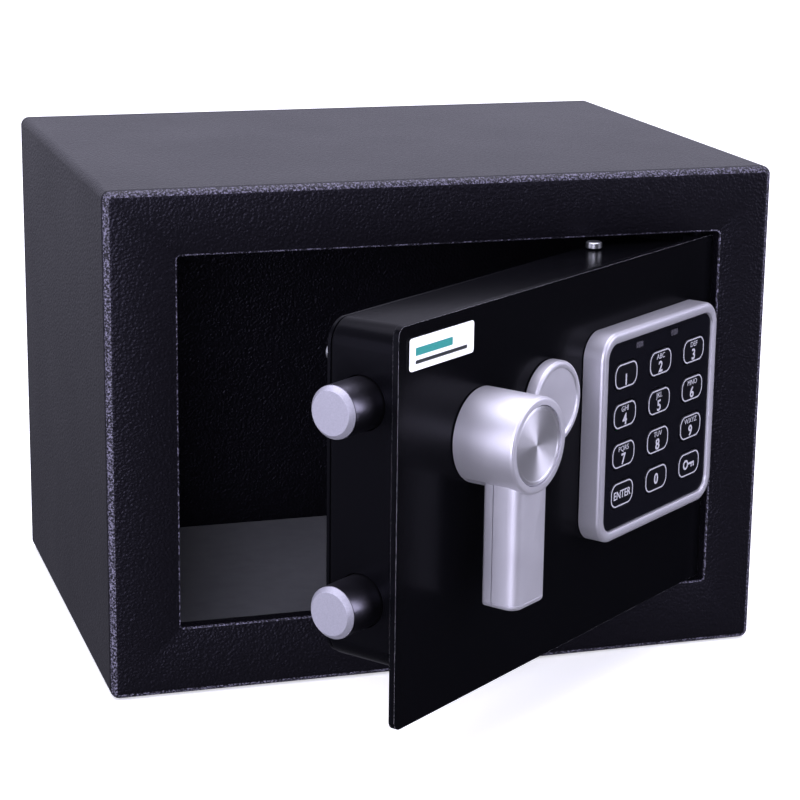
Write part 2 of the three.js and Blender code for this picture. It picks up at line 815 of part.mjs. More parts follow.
function batteryCover() {
  const { left, right, bottom, top } = BATTERY_WINDOW;
  const shape = roundedRect(left + 0.4, bottom + 0.4, right - 0.4, top - 0.4, 1.6);
  const lid = plate(shape, COVER.front, COVER.rear, 0.2, 1, 3);
  const thumbNotch = rodY((left + right) / 2, top, 6, COVER.rear - 0.6, COVER.rear + 1, 24);
  return cut(lid, thumbNotch);
}

function resetButton() {
  const button = turned(
    [
      [0, 20],
      [4, 20],
      [4, 21.5],
      [RESET.radius, 21.5],
      [RESET.radius, COVER.rear + 0.5],
      [RESET.radius - 0.5, COVER.rear + 1],
      [0, COVER.rear + 1],
    ],
    14,
  );
  return button.translate(RESET.u, 0, RESET.z);
}

// The loom's route: from the keypad's board through the plate and over to the solenoid.
const LOOM = [
  [137.2, -1.6, 92],
  [137.2, 3, 92],
  [135, 8, 95],
  [128, 11, 103],
  [116, 12, 113],
  [102, 13, 122],
  [86, 14, 131],
  [70, 15, 137],
  [57.4, 15, 138],
];

function wiring() {
  const route = new THREE.CatmullRomCurve3(LOOM.map((point) => new THREE.Vector3(...point)));
  return new THREE.ExtrudeGeometry(ring(1.5, 8), { steps: 24, extrudePath: route });
}

add(door, "battery_tray", batteryTray(), glossBlack);
const cellPitch = (BATTERY_TRAY.right - BATTERY_TRAY.left - 2 * BATTERY_TRAY.wall) / 4;
for (let index = 0; index < 4; index++) {
  const u = BATTERY_TRAY.left + BATTERY_TRAY.wall + cellPitch * (index + 0.5);
  add(door, `battery_${index + 1}`, battery(u, index % 2 === 1), batteryWrap);
}
add(door, "battery_cover", batteryCover(), satinBlack);
add(door, "reset_button", resetButton(), redPlastic);
add(
  door,
  "reset_switch",
  box(RESET.u - 6, 8, RESET.z - 6, RESET.u + 6, 17.7, RESET.z + 6),
  glossBlack,
);
add(door, "wiring", wiring(), glossBlack);

export default safe;
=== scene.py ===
import json
import math

import bmesh
import bpy
from mathutils import Matrix, Vector


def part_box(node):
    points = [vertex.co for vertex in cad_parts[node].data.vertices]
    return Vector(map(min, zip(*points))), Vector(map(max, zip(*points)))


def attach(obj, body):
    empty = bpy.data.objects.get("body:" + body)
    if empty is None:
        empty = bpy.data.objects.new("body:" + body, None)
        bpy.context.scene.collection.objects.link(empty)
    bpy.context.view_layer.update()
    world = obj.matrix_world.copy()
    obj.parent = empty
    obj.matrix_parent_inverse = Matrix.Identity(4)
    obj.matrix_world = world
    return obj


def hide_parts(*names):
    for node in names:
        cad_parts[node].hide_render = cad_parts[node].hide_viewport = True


# A small electronic safe with its door standing open on two pin hinges.
# Drawings are in millimetres: x to the right, y up, and depth measured back from the front face.
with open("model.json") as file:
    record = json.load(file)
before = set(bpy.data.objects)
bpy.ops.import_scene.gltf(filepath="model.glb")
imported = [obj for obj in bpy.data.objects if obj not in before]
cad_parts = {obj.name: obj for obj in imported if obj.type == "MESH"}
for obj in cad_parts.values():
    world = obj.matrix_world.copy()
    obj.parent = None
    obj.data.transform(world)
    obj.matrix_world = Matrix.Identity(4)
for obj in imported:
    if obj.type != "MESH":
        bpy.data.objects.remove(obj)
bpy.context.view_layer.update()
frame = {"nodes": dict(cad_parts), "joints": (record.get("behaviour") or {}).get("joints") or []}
MM = 0.001
STAND_UP = Matrix.Rotation(math.pi / 2, 4, "X") @ Matrix.Scale(MM, 4)


# ---- Cabinet sleeve ----
# One sheet of 1.5 mm steel, folded round into a sleeve and seam welded, with two anchor holes
# in its floor. It is powder coated in a fine leather texture like the rest of the cabinet.
SLEEVE_OUTSIDE = (0, 0, 230, 170)
SLEEVE_INSIDE = (1.5, 1.5, 228.5, 168.5)
SHEET = 1.5
FOLD_RADIUS = 3
SLEEVE_FRONT, SLEEVE_REAR = 3.3, 168.2
ANCHORS_X = (50, 180)
ANCHOR_DEPTH = 85
ANCHOR_RADIUS = 5
LEATHER_GRAIN = 0.9  # width of one pebble of the coating, drawn a little coarse so that it shows
COAT_BLACK = "#0d0c10"

frame_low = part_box("front_frame")[0]
CABINET = Matrix.Translation((frame_low.x, frame_low.y, frame_low.z)) @ STAND_UP


def linear(colour):
    """Turns an sRGB hex colour into linear red, green, blue and alpha."""
    values = [int(colour[place:place + 2], 16) / 255 for place in (1, 3, 5)]
    return [v / 12.92 if v <= 0.04045 else ((v + 0.055) / 1.055) ** 2.4 for v in values] + [1]


def new_finish(name):
    """Starts an empty material."""
    finish = bpy.data.materials.new(name)
    finish.use_nodes = True
    finish.node_tree.nodes.clear()
    return finish


def add_node(finish, kind, inputs=None, **settings):
    """Adds a shader node. Each input is given a value, or joined to another node's output.
    A colour Mix has several inputs of one name, so its colours go by number, 6 and 7,
    and its colour comes out of output 2."""
    node = finish.node_tree.nodes.new("ShaderNode" + kind)
    for name, value in settings.items():
        setattr(node, name, value)
    for name, value in (inputs or {}).items():
        if isinstance(value, bpy.types.NodeSocket):
            finish.node_tree.links.new(value, node.inputs[name])
        else:
            node.inputs[name].default_value = value
    return node


def hoop(bm, steps, level=0):
    """Adds a loop of edges round a unit circle, and returns its corners and its edges."""
    half_step = math.pi / (4 * steps)
    first = len(bm.edges)
    circle = bmesh.ops.create_circle(
        bm,
        segments=4 * steps,
        radius=1 / math.cos(half_step),
        matrix=Matrix.Translation((0, 0, level)) @ Matrix.Rotation(half_step, 4, "Z"),
    )
    bm.edges.ensure_lookup_table()
    return circle["verts"], bm.edges[first:]


def draw_out(verts, rect, radius, depth):
    """Pulls a hoop apart into a rounded rectangle (left, bottom, right, top) at a depth.
    The radius is one number, or a pair for the lower and the upper corners."""
    left, bottom, right, top = rect
    radii = radius if isinstance(radius, tuple) else (radius, radius)
    for vert in verts:
        corner = radii[vert.co.y > 0]
        middle_x = right - corner if vert.co.x > 0 else left + corner
        middle_y = top - corner if vert.co.y > 0 else bottom + corner
        vert.co = (middle_x + corner * vert.co.x, middle_y + corner * vert.co.y, -depth)


def loft(stations, closed=False, steps=8):
    """Skins a shell through rounded rectangles, each (rect, radius, depth).
    A closed one runs back to its first outline and leaves a hole through the middle."""
    bm = bmesh.new()
    hoops = [hoop(bm, steps, -level) for level in range(len(stations))]
    pairs = list(zip(hoops, hoops[1:]))
    if closed:
        pairs.append((hoops[-1], hoops[0]))
    for near, far in pairs:
        bmesh.ops.bridge_loops(bm, edges=near[1] + far[1])
    for (verts, _), station in zip(hoops, stations):
        draw_out(verts, *station)
    if not closed:
        bmesh.ops.contextual_create(bm, geom=hoops[0][1])
        bmesh.ops.contextual_create(bm, geom=hoops[-1][1])
    return bm


def turned(profile, start, axis, bm=None, steps=48):
    """Spins a profile of (radius, distance) points about an axis that leaves start."""
    bm = bm or bmesh.new()
    start, axis = Vector(start), Vector(axis)
    side = Vector((0, 1, 0)) if axis.x else Vector((1, 0, 0))
    points = [bm.verts.new(start + side * radius + axis * along) for radius, along in profile]
    edges = [bm.edges.new(pair) for pair in zip(points, points[1:])]
    bmesh.ops.spin(
        bm,
        geom=points + edges,
        cent=start,
        axis=axis,
        angle=2 * math.pi,
        steps=steps,
        use_merge=True,
    )
    bmesh.ops.remove_doubles(bm, verts=bm.verts, dist=1e-4)
    return bm


def rod(start, axis, radius, near, far, bm=None, steps=48):
    """A plain round bar, also used as a drill."""
    return turned([(0, near), (radius, near), (radius, far), (0, far)], start, axis, bm, steps)


def to_object(name, bm, place):
    """Sets a drawing in millimetres in its place in the safe."""
    bmesh.ops.transform(bm, matrix=place, verts=bm.verts)
    bmesh.ops.recalc_face_normals(bm, faces=bm.faces)
    mesh = bpy.data.meshes.new(name)
    bm.to_mesh(mesh)
    bm.free()
    made = bpy.data.objects.new(name, mesh)
    bpy.context.scene.collection.objects.link(made)
    return made


def combine(piece, operation, *tools):
    """Cuts, joins or keeps what is common with other drawings, which are used up."""
    for tool in tools:
        step = piece.modifiers.new("tool", "BOOLEAN")
        step.operation = operation
        step.solver = "EXACT"
        step.object = tool
    graph = bpy.context.evaluated_depsgraph_get()
    piece.data = bpy.data.meshes.new_from_object(piece.evaluated_get(graph))
    piece.modifiers.clear()
    for tool in tools:
        bpy.data.objects.remove(tool)


def complete(piece, finish, body, stands_for=(), edge=0, edge_steps=2, angle=35):
    """Gives a piece its finish, smooth shading and rounded edges, and hangs it on its body."""
    piece.data.materials.clear()
    piece.data.materials.append(finish)
    piece.data.shade_smooth()
    piece.data.set_sharp_from_angle(angle=math.radians(angle))
    if edge:
        rounding = piece.modifiers.new("rounded edges", "BEVEL")
        rounding.width = edge * MM
        rounding.segments = edge_steps
        rounding.limit_method = "ANGLE"
        rounding.angle_limit = math.radians(angle)
        rounding.harden_normals = True
    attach(piece, body)
    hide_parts(*stands_for)
    return piece


# Epoxy polyester powder over steel. It melts into small soft pebbles with creases between them,
# so it has a low broad sheen that breaks up into speckles wherever the sheet turns a corner.
powder_coat = new_finish("leather_grain_powder_coat")
spot = add_node(powder_coat, "TexCoord").outputs["Object"]
warp = add_node(powder_coat, "TexNoise", {"Vector": spot, "Scale": 500, "Detail": 2})
bent = add_node(
    powder_coat,
    "VectorMath",
    {0: warp.outputs["Color"], 1: (LEATHER_GRAIN * MM,) * 3, 2: spot},
    operation="MULTIPLY_ADD",
)
pebbles = add_node(
    powder_coat,
    "TexVoronoi",
    {"Vector": bent.outputs[0], "Scale": 1 / (LEATHER_GRAIN * MM), "Smoothness": 0.7},
    feature="SMOOTH_F1",
)
dust = add_node(powder_coat, "TexNoise", {"Vector": spot, "Scale": 3200, "Detail": 2})
relief = add_node(
    powder_coat,
    "Math",
    {0: dust.outputs[0], 1: 0.25, 2: pebbles.outputs["Distance"]},
    operation="MULTIPLY_ADD",
)
grain = add_node(
    powder_coat,
    "Bump",
    {"Height": relief.outputs[0], "Distance": 0.00022, "Strength": 1},
    invert=True,
)
cloud = add_node(powder_coat, "TexNoise", {"Vector": spot, "Scale": 25, "Detail": 3})
gloss = add_node(
    powder_coat, "MapRange", {"Value": cloud.outputs[0], "To Min": 0.3, "To Max": 0.38}
)
shader = add_node(
    powder_coat,
    "BsdfPrincipled",
    {
        "Base Color": linear(COAT_BLACK),
        "Roughness": gloss.outputs[0],
        "Specular IOR Level": 0.17,
        "Specular Tint": linear("#e6e3ff"),
        "Normal": grain.outputs[0],
    },
)
add_node(powder_coat, "OutputMaterial", {"Surface": shader.outputs[0]})

sleeve = to_object(
    "cabinet_sleeve",
    loft(
        [
            (SLEEVE_OUTSIDE, FOLD_RADIUS, SLEEVE_FRONT),
            (SLEEVE_OUTSIDE, FOLD_RADIUS, SLEEVE_REAR),
            (SLEEVE_INSIDE, FOLD_RADIUS - SHEET, SLEEVE_REAR),
            (SLEEVE_INSIDE, FOLD_RADIUS - SHEET, SLEEVE_FRONT),
        ],
        closed=True,
    ),
    CABINET,
)
drills = bmesh.new()
for x in ANCHORS_X:
    rod((x, 0, -ANCHOR_DEPTH), (0, 1, 0), ANCHOR_RADIUS, -1, 3, drills)
combine(sleeve, "DIFFERENCE", to_object("drills", drills, CABINET))
complete(sleeve, powder_coat, "body", ["body_wrap"], edge=0.3)


# ---- Front frame ----
# A 3 mm plate welded into the front of the sleeve. Its outer edge is ground to a soft round,
# and its doorway has a short flange folded inwards, notched where the hinge pins pass.
FRAME_ROUND = 2.8
FRAME_THICK = 3
WELD_GROOVE = 0.4  # how far the plate's rear edge stands in from the sleeve, behind the weld
DOORWAY = (23.5, 23.5, 211.2, 148.5)
FLANGE_OUTSIDE = (22, 22, 212.7, 150)
FLANGE_REAR = 5.5
HINGE_AT = (205, 4.8)
NOTCH_RADIUS = 3


def inset(rect, by):
    """Shrinks a rectangle by the same amount on every side."""
    return (rect[0] + by, rect[1] + by, rect[2] - by, rect[3] - by)


def rounded_corner(rect, radius, depth, size, steps=5):
    """Outlines that carry a side wall over a quarter round onto the face at depth."""
    turns = [math.pi / 2 * step / steps for step in range(steps + 1)]
    return [
        (
            inset(rect, size * (1 - math.cos(turn))),
            max(radius - size * (1 - math.cos(turn)), 0.3),
            depth + size * (1 - math.sin(turn)),
        )
        for turn in turns
    ]


doorway_frame = to_object(
    "doorway_frame",
    loft(
        [(inset(SLEEVE_OUTSIDE, WELD_GROOVE), FOLD_RADIUS - WELD_GROOVE, FRAME_THICK)]
        + rounded_corner(SLEEVE_OUTSIDE, FOLD_RADIUS, 0, FRAME_ROUND)
        + [
            (inset(DOORWAY, -0.6), 1.8, 0),
            (inset(DOORWAY, -0.2), 1.4, 0.18),
            (DOORWAY, 1.2, 0.6),
            (DOORWAY, 1.2, FLANGE_REAR),
            (FLANGE_OUTSIDE, 2.7, FLANGE_REAR),
            (FLANGE_OUTSIDE, 2.7, FRAME_THICK),
        ],
        closed=True,
    ),
    CABINET,
)
notches = bmesh.new()
for low, high in ((DOORWAY[3] - 1, DOORWAY[3] + 5), (DOORWAY[1] - 5, DOORWAY[1] + 1)):
    rod((HINGE_AT[0], 0, -HINGE_AT[1]), (0, 1, 0), NOTCH_RADIUS, low, high, notches)
combine(doorway_frame, "DIFFERENCE", to_object("notches", notches, CABINET))
complete(doorway_frame, powder_coat, "body", ["front_frame"])

# On the rounded edge the coat has painted glints: its base colour flashes pale at random specks, a
# painted highlight standing in for pebbles of the coat that catch the lamps.
painted_glint_coat = new_finish("coat_with_painted_glints_on_rounded_edge")
spot = add_node(painted_glint_coat, "TexCoord").outputs["Object"]
pebbles = add_node(painted_glint_coat, "TexNoise", {"Vector": spot, "Scale": 1500, "Detail": 3})
painted_glint_mask = add_node(
    painted_glint_coat, "MapRange", {"Value": pebbles.outputs[0], "From Min": 0.46, "From Max": 0.66}
)
tone = add_node(
    painted_glint_coat,
    "Mix",
    {"Factor": painted_glint_mask.outputs[0], 6: linear("#131218"), 7: linear("#6a6779")},
    data_type="RGBA",
)
grain = add_node(
    painted_glint_coat, "Bump", {"Height": pebbles.outputs[0], "Distance": 0.0003, "Strength": 1}
)
shader = add_node(
    painted_glint_coat,
    "BsdfPrincipled",
    {
        "Base Color": tone.outputs[2],
        "Roughness": 0.4,
        "Specular IOR Level": 0.25,
        "Normal": grain.outputs[0],
    },
)
add_node(painted_glint_coat, "OutputMaterial", {"Surface": shader.outputs[0]})
# The frame's rounded outer edge takes the coat with the painted glints.
doorway_frame.data.materials.append(painted_glint_coat)
# The rounded outer edge is every face that leans between the flat front and the straight sides.
for face in doorway_frame.data.polygons:
    face.material_index = int(0.2 < -face.normal.y < 0.96)


# ---- Rear panel ----
# A flat 1.5 mm plate welded over the back of the sleeve, with two holes for wall anchors.
# It has the same coating as the sleeve.
PANEL_FRONT, PANEL_REAR = 168.5, 170
ANCHOR_HEIGHT = 85


def round_hole(x, y, radius):
    """A circle, as an outline's rectangle and corner radius."""
    return (x - radius, y - radius, x + radius, y + radius), radius


def plate(outer, holes, front, back, steps=8):
    """A flat plate with holes through it, each given as a rectangle and a corner radius."""
    bm = bmesh.new()
    for rect, radius in [outer, *holes]:
        draw_out(hoop(bm, steps)[0], rect, radius, front)
    bmesh.ops.triangle_fill(bm, edges=bm.edges[:], use_beauty=True)
    skin = bmesh.ops.extrude_face_region(bm, geom=bm.faces[:])
    moved = [part for part in skin["geom"] if isinstance(part, bmesh.types.BMVert)]
    bmesh.ops.translate(bm, vec=(0, 0, front - back), verts=moved)
    return bm


rear_panel = to_object(
    "rear_panel",
    plate(
        (SLEEVE_OUTSIDE, FOLD_RADIUS),
        [round_hole(x, ANCHOR_HEIGHT, ANCHOR_RADIUS) for x in ANCHORS_X],
        PANEL_FRONT,
        PANEL_REAR,
    ),
    CABINET,
)
complete(rear_panel, powder_coat, "body", ["back_panel"], edge=0.4)


# ---- Floor liner ----
# A 2 mm pad of grey needle felt, die cut and glued to the cabinet's floor.
# Its fibres lie every way, so it looks matt and slightly fuzzy, lighter along its edges.
LINER = (3, 4, 227, 167)
LINER_BOTTOM, LINER_TOP = 1.8, 3.8
LYING_DOWN = Matrix.Translation((frame_low.x, frame_low.y, frame_low.z)) @ Matrix.Scale(MM, 4)

felt = new_finish("grey_needle_felt")
spot = add_node(felt, "TexCoord").outputs["Object"]
fibres = add_node(
    felt,
    "TexNoise",
    {"Vector": spot, "Scale": 1400, "Detail": 6, "Roughness": 0.75, "Distortion": 2.5},
)
tufts = add_node(felt, "TexNoise", {"Vector": spot, "Scale": 160, "Detail": 3})
blend = add_node(
    felt, "Math", {0: tufts.outputs[0], 1: 0.5, 2: fibres.outputs[0]}, operation="MULTIPLY_ADD"
)
shade = add_node(
    felt,
    "Mix",
    {"Factor": blend.outputs[0], 6: linear("#4c4d52"), 7: linear("#85868c")},
    data_type="RGBA",
)
nap = add_node(felt, "Bump", {"Height": blend.outputs[0], "Distance": 0.0004, "Strength": 0.7})
shader = add_node(
    felt,
    "BsdfPrincipled",
    {
        "Base Color": shade.outputs[2],
        "Roughness": 0.95,
        "Specular IOR Level": 0.1,
        "Sheen Weight": 0.4,
        "Sheen Roughness": 0.5,
        "Normal": nap.outputs[0],
    },
)
add_node(felt, "OutputMaterial", {"Surface": shader.outputs[0]})

liner = to_object("floor_liner", plate((LINER, 2), [], -LINER_TOP, -LINER_BOTTOM), LYING_DOWN)
complete(liner, felt, "body", ["floor_mat"], edge=0.6, edge_steps=3)


# ---- Hinge plates ----
# Two 3 mm steel tabs, spot welded behind the frame above and below the doorway.
# Each has a reamed hole for a hinge pin, and the smooth satin coat that the door has.
HINGE_TAB = (196, 3.3, 214, 16)
TAB_THICK = 3
HINGE_BORE = 2.35

# Smooth semi-gloss black powder. It flows out nearly flat, with a very faint orange peel.
satin_coat = new_finish("smooth_satin_black_coat")
spot = add_node(satin_coat, "TexCoord").outputs["Object"]
peel = add_node(satin_coat, "TexNoise", {"Vector": spot, "Scale": 420, "Detail": 2})
specks = add_node(satin_coat, "TexNoise", {"Vector": spot, "Scale": 2600, "Detail": 2})
height = add_node(
    satin_coat, "Math", {0: specks.outputs[0], 1: 0.2, 2: peel.outputs[0]}, operation="MULTIPLY_ADD"
)
ripple = add_node(
    satin_coat, "Bump", {"Height": height.outputs[0], "Distance": 0.00008, "Strength": 0.35}
)
cloud = add_node(satin_coat, "TexNoise", {"Vector": spot, "Scale": 18, "Detail": 4})
gloss = add_node(satin_coat, "MapRange", {"Value": cloud.outputs[0], "To Min": 0.2, "To Max": 0.3})
shader = add_node(
    satin_coat,
    "BsdfPrincipled",
    {
        "Base Color": linear("#060608"),
        "Roughness": gloss.outputs[0],
        "Specular IOR Level": 0.04,
        "Specular Tint": linear("#e9e7ff"),
        "Normal": ripple.outputs[0],
    },
)
add_node(satin_coat, "OutputMaterial", {"Surface": shader.outputs[0]})

# Where the powder draws back from a cut edge it is thin, and the steel shows as pale specks. The
# whole edge band is also painted much lighter than the coat, a painted highlight line along the cut
# edges.
edge_wear_and_highlight = new_finish("thin_coat_and_painted_highlight_on_cut_edges")
spot = add_node(edge_wear_and_highlight, "TexCoord").outputs["Object"]
specks = add_node(edge_wear_and_highlight, "TexNoise", {"Vector": spot, "Scale": 1400, "Detail": 4})
bare_steel_and_highlight_mask = add_node(
    edge_wear_and_highlight, "MapRange", {"Value": specks.outputs[0], "From Min": 0.38, "From Max": 0.52}
)
tone = add_node(
    edge_wear_and_highlight,
    "Mix",
    {"Factor": bare_steel_and_highlight_mask.outputs[0], 6: linear("#3a3940"), 7: linear("#cfced8")},
    data_type="RGBA",
)
shader = add_node(
    edge_wear_and_highlight, "BsdfPrincipled", {"Base Color": tone.outputs[2], "Metallic": 0.3, "Roughness": 0.45}
)
add_node(edge_wear_and_highlight, "OutputMaterial", {"Surface": shader.outputs[0]})

for name, low in (("upper_hinge_plate", 150.3), ("lower_hinge_plate", 18.7)):
    tab = plate((HINGE_TAB, 1), [round_hole(*HINGE_AT, HINGE_BORE)], -low - TAB_THICK, -low)
    tab = to_object(name + "_tab", tab, LYING_DOWN)
    complete(tab, satin_coat, "body", [name], edge=0.3)


# ---- Door skin ----
# A 2 mm steel plate, laser cut with holes for the spindle, the lock and the keypad's cable.
# Its hinge edge is chamfered so that it swings clear of the frame.
SKIN = (0, 25, 184, 147)
SKIN_CORNER = 3
SKIN_BACK = 2
HUB = (42, 107)
LOCK = (79, 109.5)
SPINDLE_HOLE = 7.4
LOCK_HOLE = 8.4
CABLE_HOLE = (137.2, 92, 5)
HINGE_CHAMFER = 1.2

hinge = next(joint for joint in frame["joints"] if joint["name"] == "door_swing")
hinge_x, hinge_y = hinge["pos_m"][:2]
ajar = math.radians(-hinge["range_deg"][0])
PIN = (180, 4.8)
DOOR = (
    Matrix.Translation((hinge_x, hinge_y, 0))
    @ Matrix.Rotation(ajar, 4, "Z")
    @ Matrix.Translation((-PIN[0] * MM, -PIN[1] * MM, 0))
    @ STAND_UP
)

skin = plate(
    (SKIN, SKIN_CORNER),
    [round_hole(*HUB, SPINDLE_HOLE), round_hole(*LOCK, LOCK_HOLE), round_hole(*CABLE_HOLE)],
    0,
    SKIN_BACK,
    steps=10,
)
bmesh.ops.bisect_plane(
    skin,
    geom=skin.verts[:] + skin.edges[:] + skin.faces[:],
    plane_co=(SKIN[2] - HINGE_CHAMFER, 0, 0),
    plane_no=(1, 0, 1),
    clear_outer=True,
)
bmesh.ops.holes_fill(skin, edges=[edge for edge in skin.edges if edge.is_boundary])
door_skin = to_object("door_skin", skin, DOOR)
complete(door_skin, satin_coat, "door", ["door_plate"], edge=0.4, edge_steps=3)
# The skin's rounded edges take the thin coat with its painted highlight.
door_skin.data.materials.append(edge_wear_and_highlight)
door_skin.modifiers["rounded edges"].material = 1


# ---- Works tray ----
# A pressed steel tray welded to the back of the skin, 1.2 mm thick, with a lip folded in at the
# rear. Its left wall has a round hole for each bolt.
TRAY = (2.3, 41.5, 176, 145.5)
TRAY_WINDOW = (9.3, 45.5, 169, 138.5)
TRAY_CORNER = 8
TRAY_WALL = 1.2
TRAY_FRONT, TRAY_REAR = 2.3, 26
BOLT_DEPTH = 14.5
BOLT_HEIGHTS = (62.2, 122.4)
BOLT_HOLE = 8.4
SCREW_HOLE = 1.8
SCREWS = [(x, y) for x in (6.3, 172) for y in (52, 135)]

tray_rear = rounded_corner(TRAY, TRAY_CORNER, 0, 1)
works_tray = to_object(
    "works_tray",
    loft(
        [(TRAY, TRAY_CORNER, TRAY_FRONT)]
        + [(rect, radius, TRAY_REAR - depth) for rect, radius, depth in tray_rear]
        + [
            (TRAY_WINDOW, 2, TRAY_REAR),
            (TRAY_WINDOW, 2, TRAY_REAR - TRAY_WALL),
            (inset(TRAY, TRAY_WALL), TRAY_CORNER - TRAY_WALL, TRAY_REAR - TRAY_WALL),
            (inset(TRAY, TRAY_WALL), TRAY_CORNER - TRAY_WALL, TRAY_FRONT),
        ],
        closed=True,
        steps=10,
    ),
    DOOR,
)
drills = bmesh.new()
for y in BOLT_HEIGHTS:
    rod((0, y, -BOLT_DEPTH), (1, 0, 0), BOLT_HOLE, 0, 6, drills)
for x, y in SCREWS:
    rod((x, y, 0), (0, 0, -1), SCREW_HOLE, 23, 27, drills, steps=24)
combine(works_tray, "DIFFERENCE", to_object("drills", drills, DOOR))
complete(works_tray, satin_coat, "door", ["door_tray"])


# ---- Inner cover ----
# The 1.2 mm plate over the works, with a window for the batteries and a hole for the reset button.
# Four pan-head screws hold it to the tray's lip.
COVER_FRONT, COVER_REAR = 26.3, 27.5
BATTERY_WINDOW = (56.5, 45.5, 115.5, 98)
RESET = (150, 118)
RESET_HOLE = 3

inner_cover = to_object(
    "works_cover",
    plate(
        (inset(TRAY, 0.4), TRAY_CORNER - 0.4),
        [(BATTERY_WINDOW, 2), round_hole(*RESET, RESET_HOLE)]
        + [round_hole(*screw, SCREW_HOLE) for screw in SCREWS],
        COVER_FRONT,
        COVER_REAR,
    ),
    DOOR,
)
complete(inner_cover, satin_coat, "door", ["inner_cover"], edge=0.25)


# ---- Bright zinc hardware ----
# Cover screws, the stop stud and the bolt works are mild steel, turned or punched and zinc plated.
# Clear passivated zinc is bright and faintly blue, with soft cloudy patches of sheen.
zinc = new_finish("clear_zinc_plate")
spot = add_node(zinc, "TexCoord").outputs["Object"]
cloud = add_node(zinc, "TexNoise", {"Vector": spot, "Scale": 120, "Detail": 4})
tone = add_node(
    zinc,
    "Mix",
    {"Factor": cloud.outputs[0], 6: linear("#a9adb3"), 7: linear("#c6c6c4")},
    data_type="RGBA",
)
gloss = add_node(zinc, "MapRange", {"Value": cloud.outputs[0], "To Min": 0.22, "To Max": 0.42})
scratch = add_node(zinc, "TexNoise", {"Vector": spot, "Scale": 2500, "Detail": 2})
scuff = add_node(zinc, "Bump", {"Height": scratch.outputs[0], "Distance": 0.00003, "Strength": 0.5})
shader = add_node(
    zinc,
    "BsdfPrincipled",
    {
        "Base Color": tone.outputs[2],
        "Metallic": 1,
        "Roughness": gloss.outputs[0],
        "Normal": scuff.outputs[0],
    },
)
add_node(zinc, "OutputMaterial", {"Surface": shader.outputs[0]})

SCREW_SEAT = 27.8
for index, (x, y) in enumerate(SCREWS):
    screw = turned(
        [(0, 22.5), (1.4, 22.5), (1.4, SCREW_SEAT), (3, SCREW_SEAT), (3, 28.3), (2.75, 28.7)]
        + [(2.2, 29), (1.2, 29.15), (0, 29.2)],
        (x, y, 0),
        (0, 0, -1),
        steps=32,
    )
    screw = to_object(f"screw_{index + 1}", screw, DOOR)
    for wide, tall in ((1.7, 0.3), (0.3, 1.7)):
        blade = plate(((x - wide, y - tall, x + wide, y + tall), 0.1), [], 28.4, 30, 1)
        combine(screw, "DIFFERENCE", to_object("driver", blade, DOOR))
    complete(screw, zinc, "door", [f"cover_screw_{index + 1}"])

# Each hinge pin stands out of a block that is welded to the back of the skin and coated with it.
PIN_RADIUS = 2
for name, block, low, high in (
    ("upper_hinge_pin", (128, 146.7), 146, 152.5), ("lower_hinge_pin", (25.3, 44), 19.5, 26)
):
    knuckle = plate(((176.8, block[0], 182.6, block[1]), 0.5), [], 2.3, 8.3, 3)
    knuckle = to_object(name + "_knuckle", knuckle, DOOR)
    ends = [(0, low), (PIN_RADIUS - 0.4, low), (PIN_RADIUS, low + 0.4)]
    ends += [(PIN_RADIUS, high - 0.4), (PIN_RADIUS - 0.4, high), (0, high)]
    pin = turned(ends, (PIN[0], 0, -PIN[1]), (0, 1, 0), steps=32)
    combine(knuckle, "UNION", to_object("pin", pin, DOOR))
    complete(knuckle, satin_coat, "door", [name], edge=0.2)

stub = [(0, 145.8), (2.4, 145.8), (2.7, 146.1), (2.7, 147.7), (2.4, 148), (0, 148)]
stop_stud = to_object("stop_stud", turned(stub, (141, 0, -22), (0, 1, 0)), DOOR)
complete(stop_stud, zinc, "door", ["stop_pin"])

bolt_works = ("bolt_carrier", "spindle_cam", "handle_spindle", "lock_cam")
for name in (*bolt_works, "solenoid_body", "solenoid_plunger", "plunger_spring"):
    frame["nodes"][name].material_slots[0].material = zinc


# ---- Name label ----
# A die-cut white vinyl sticker with round corners, stuck to the skin's top left corner.
# It is printed with two plain bars in place of any wording.
LABEL = (4.8, 133.3, 37, 143)
LABEL_FRONT, LABEL_BACK = -0.6, -0.3

vinyl = new_finish("white_vinyl_film")
spot = add_node(vinyl, "TexCoord").outputs["Object"]
mottle = add_node(vinyl, "TexNoise", {"Vector": spot, "Scale": 300, "Detail": 3})
tone = add_node(
    vinyl,
    "Mix",
    {"Factor": mottle.outputs[0], 6: linear("#eff3f2"), 7: linear("#fbfdfc")},
    data_type="RGBA",
)
lift = add_node(vinyl, "Bump", {"Height": mottle.outputs[0], "Distance": 0.00002, "Strength": 0.4})
shader = add_node(
    vinyl,
    "BsdfPrincipled",
    {
        "Base Color": tone.outputs[2],
        "Roughness": 0.38,
        "Coat Weight": 0.3,
        "Coat Roughness": 0.2,
        "Normal": lift.outputs[0],
    },
)
add_node(vinyl, "OutputMaterial", {"Surface": shader.outputs[0]})

label = to_object("front_label", plate((LABEL, 1), [], LABEL_FRONT, LABEL_BACK), DOOR)
complete(label, vinyl, "door", ["name_label"], edge=0.08)

for name, colour, pale, bar in (
    ("label_bar_teal", "#17756e", "#2a8f89", (7.5, 137.6, 26, 140)),
    ("label_bar_grey", "#181b1d", "#2d3133", (7.5, 135.2, 33.5, 136.3)),
):
    ink = new_finish(name + "_ink")
    spot = add_node(ink, "TexCoord").outputs["Object"]
    dots = add_node(ink, "TexNoise", {"Vector": spot, "Scale": 2500, "Detail": 2})
    tone = add_node(
        ink,
        "Mix",
        {"Factor": dots.outputs[0], 6: linear(colour), 7: linear(pale)},
        data_type="RGBA",
    )
    shader = add_node(ink, "BsdfPrincipled", {"Base Color": tone.outputs[2], "Roughness": 0.42})
    add_node(ink, "OutputMaterial", {"Surface": shader.outputs[0]})
    strip = plate((bar, 0.35), [], LABEL_FRONT - 0.06, LABEL_FRONT - 0.01)
    complete(to_object(name, strip, DOOR), ink, "door")


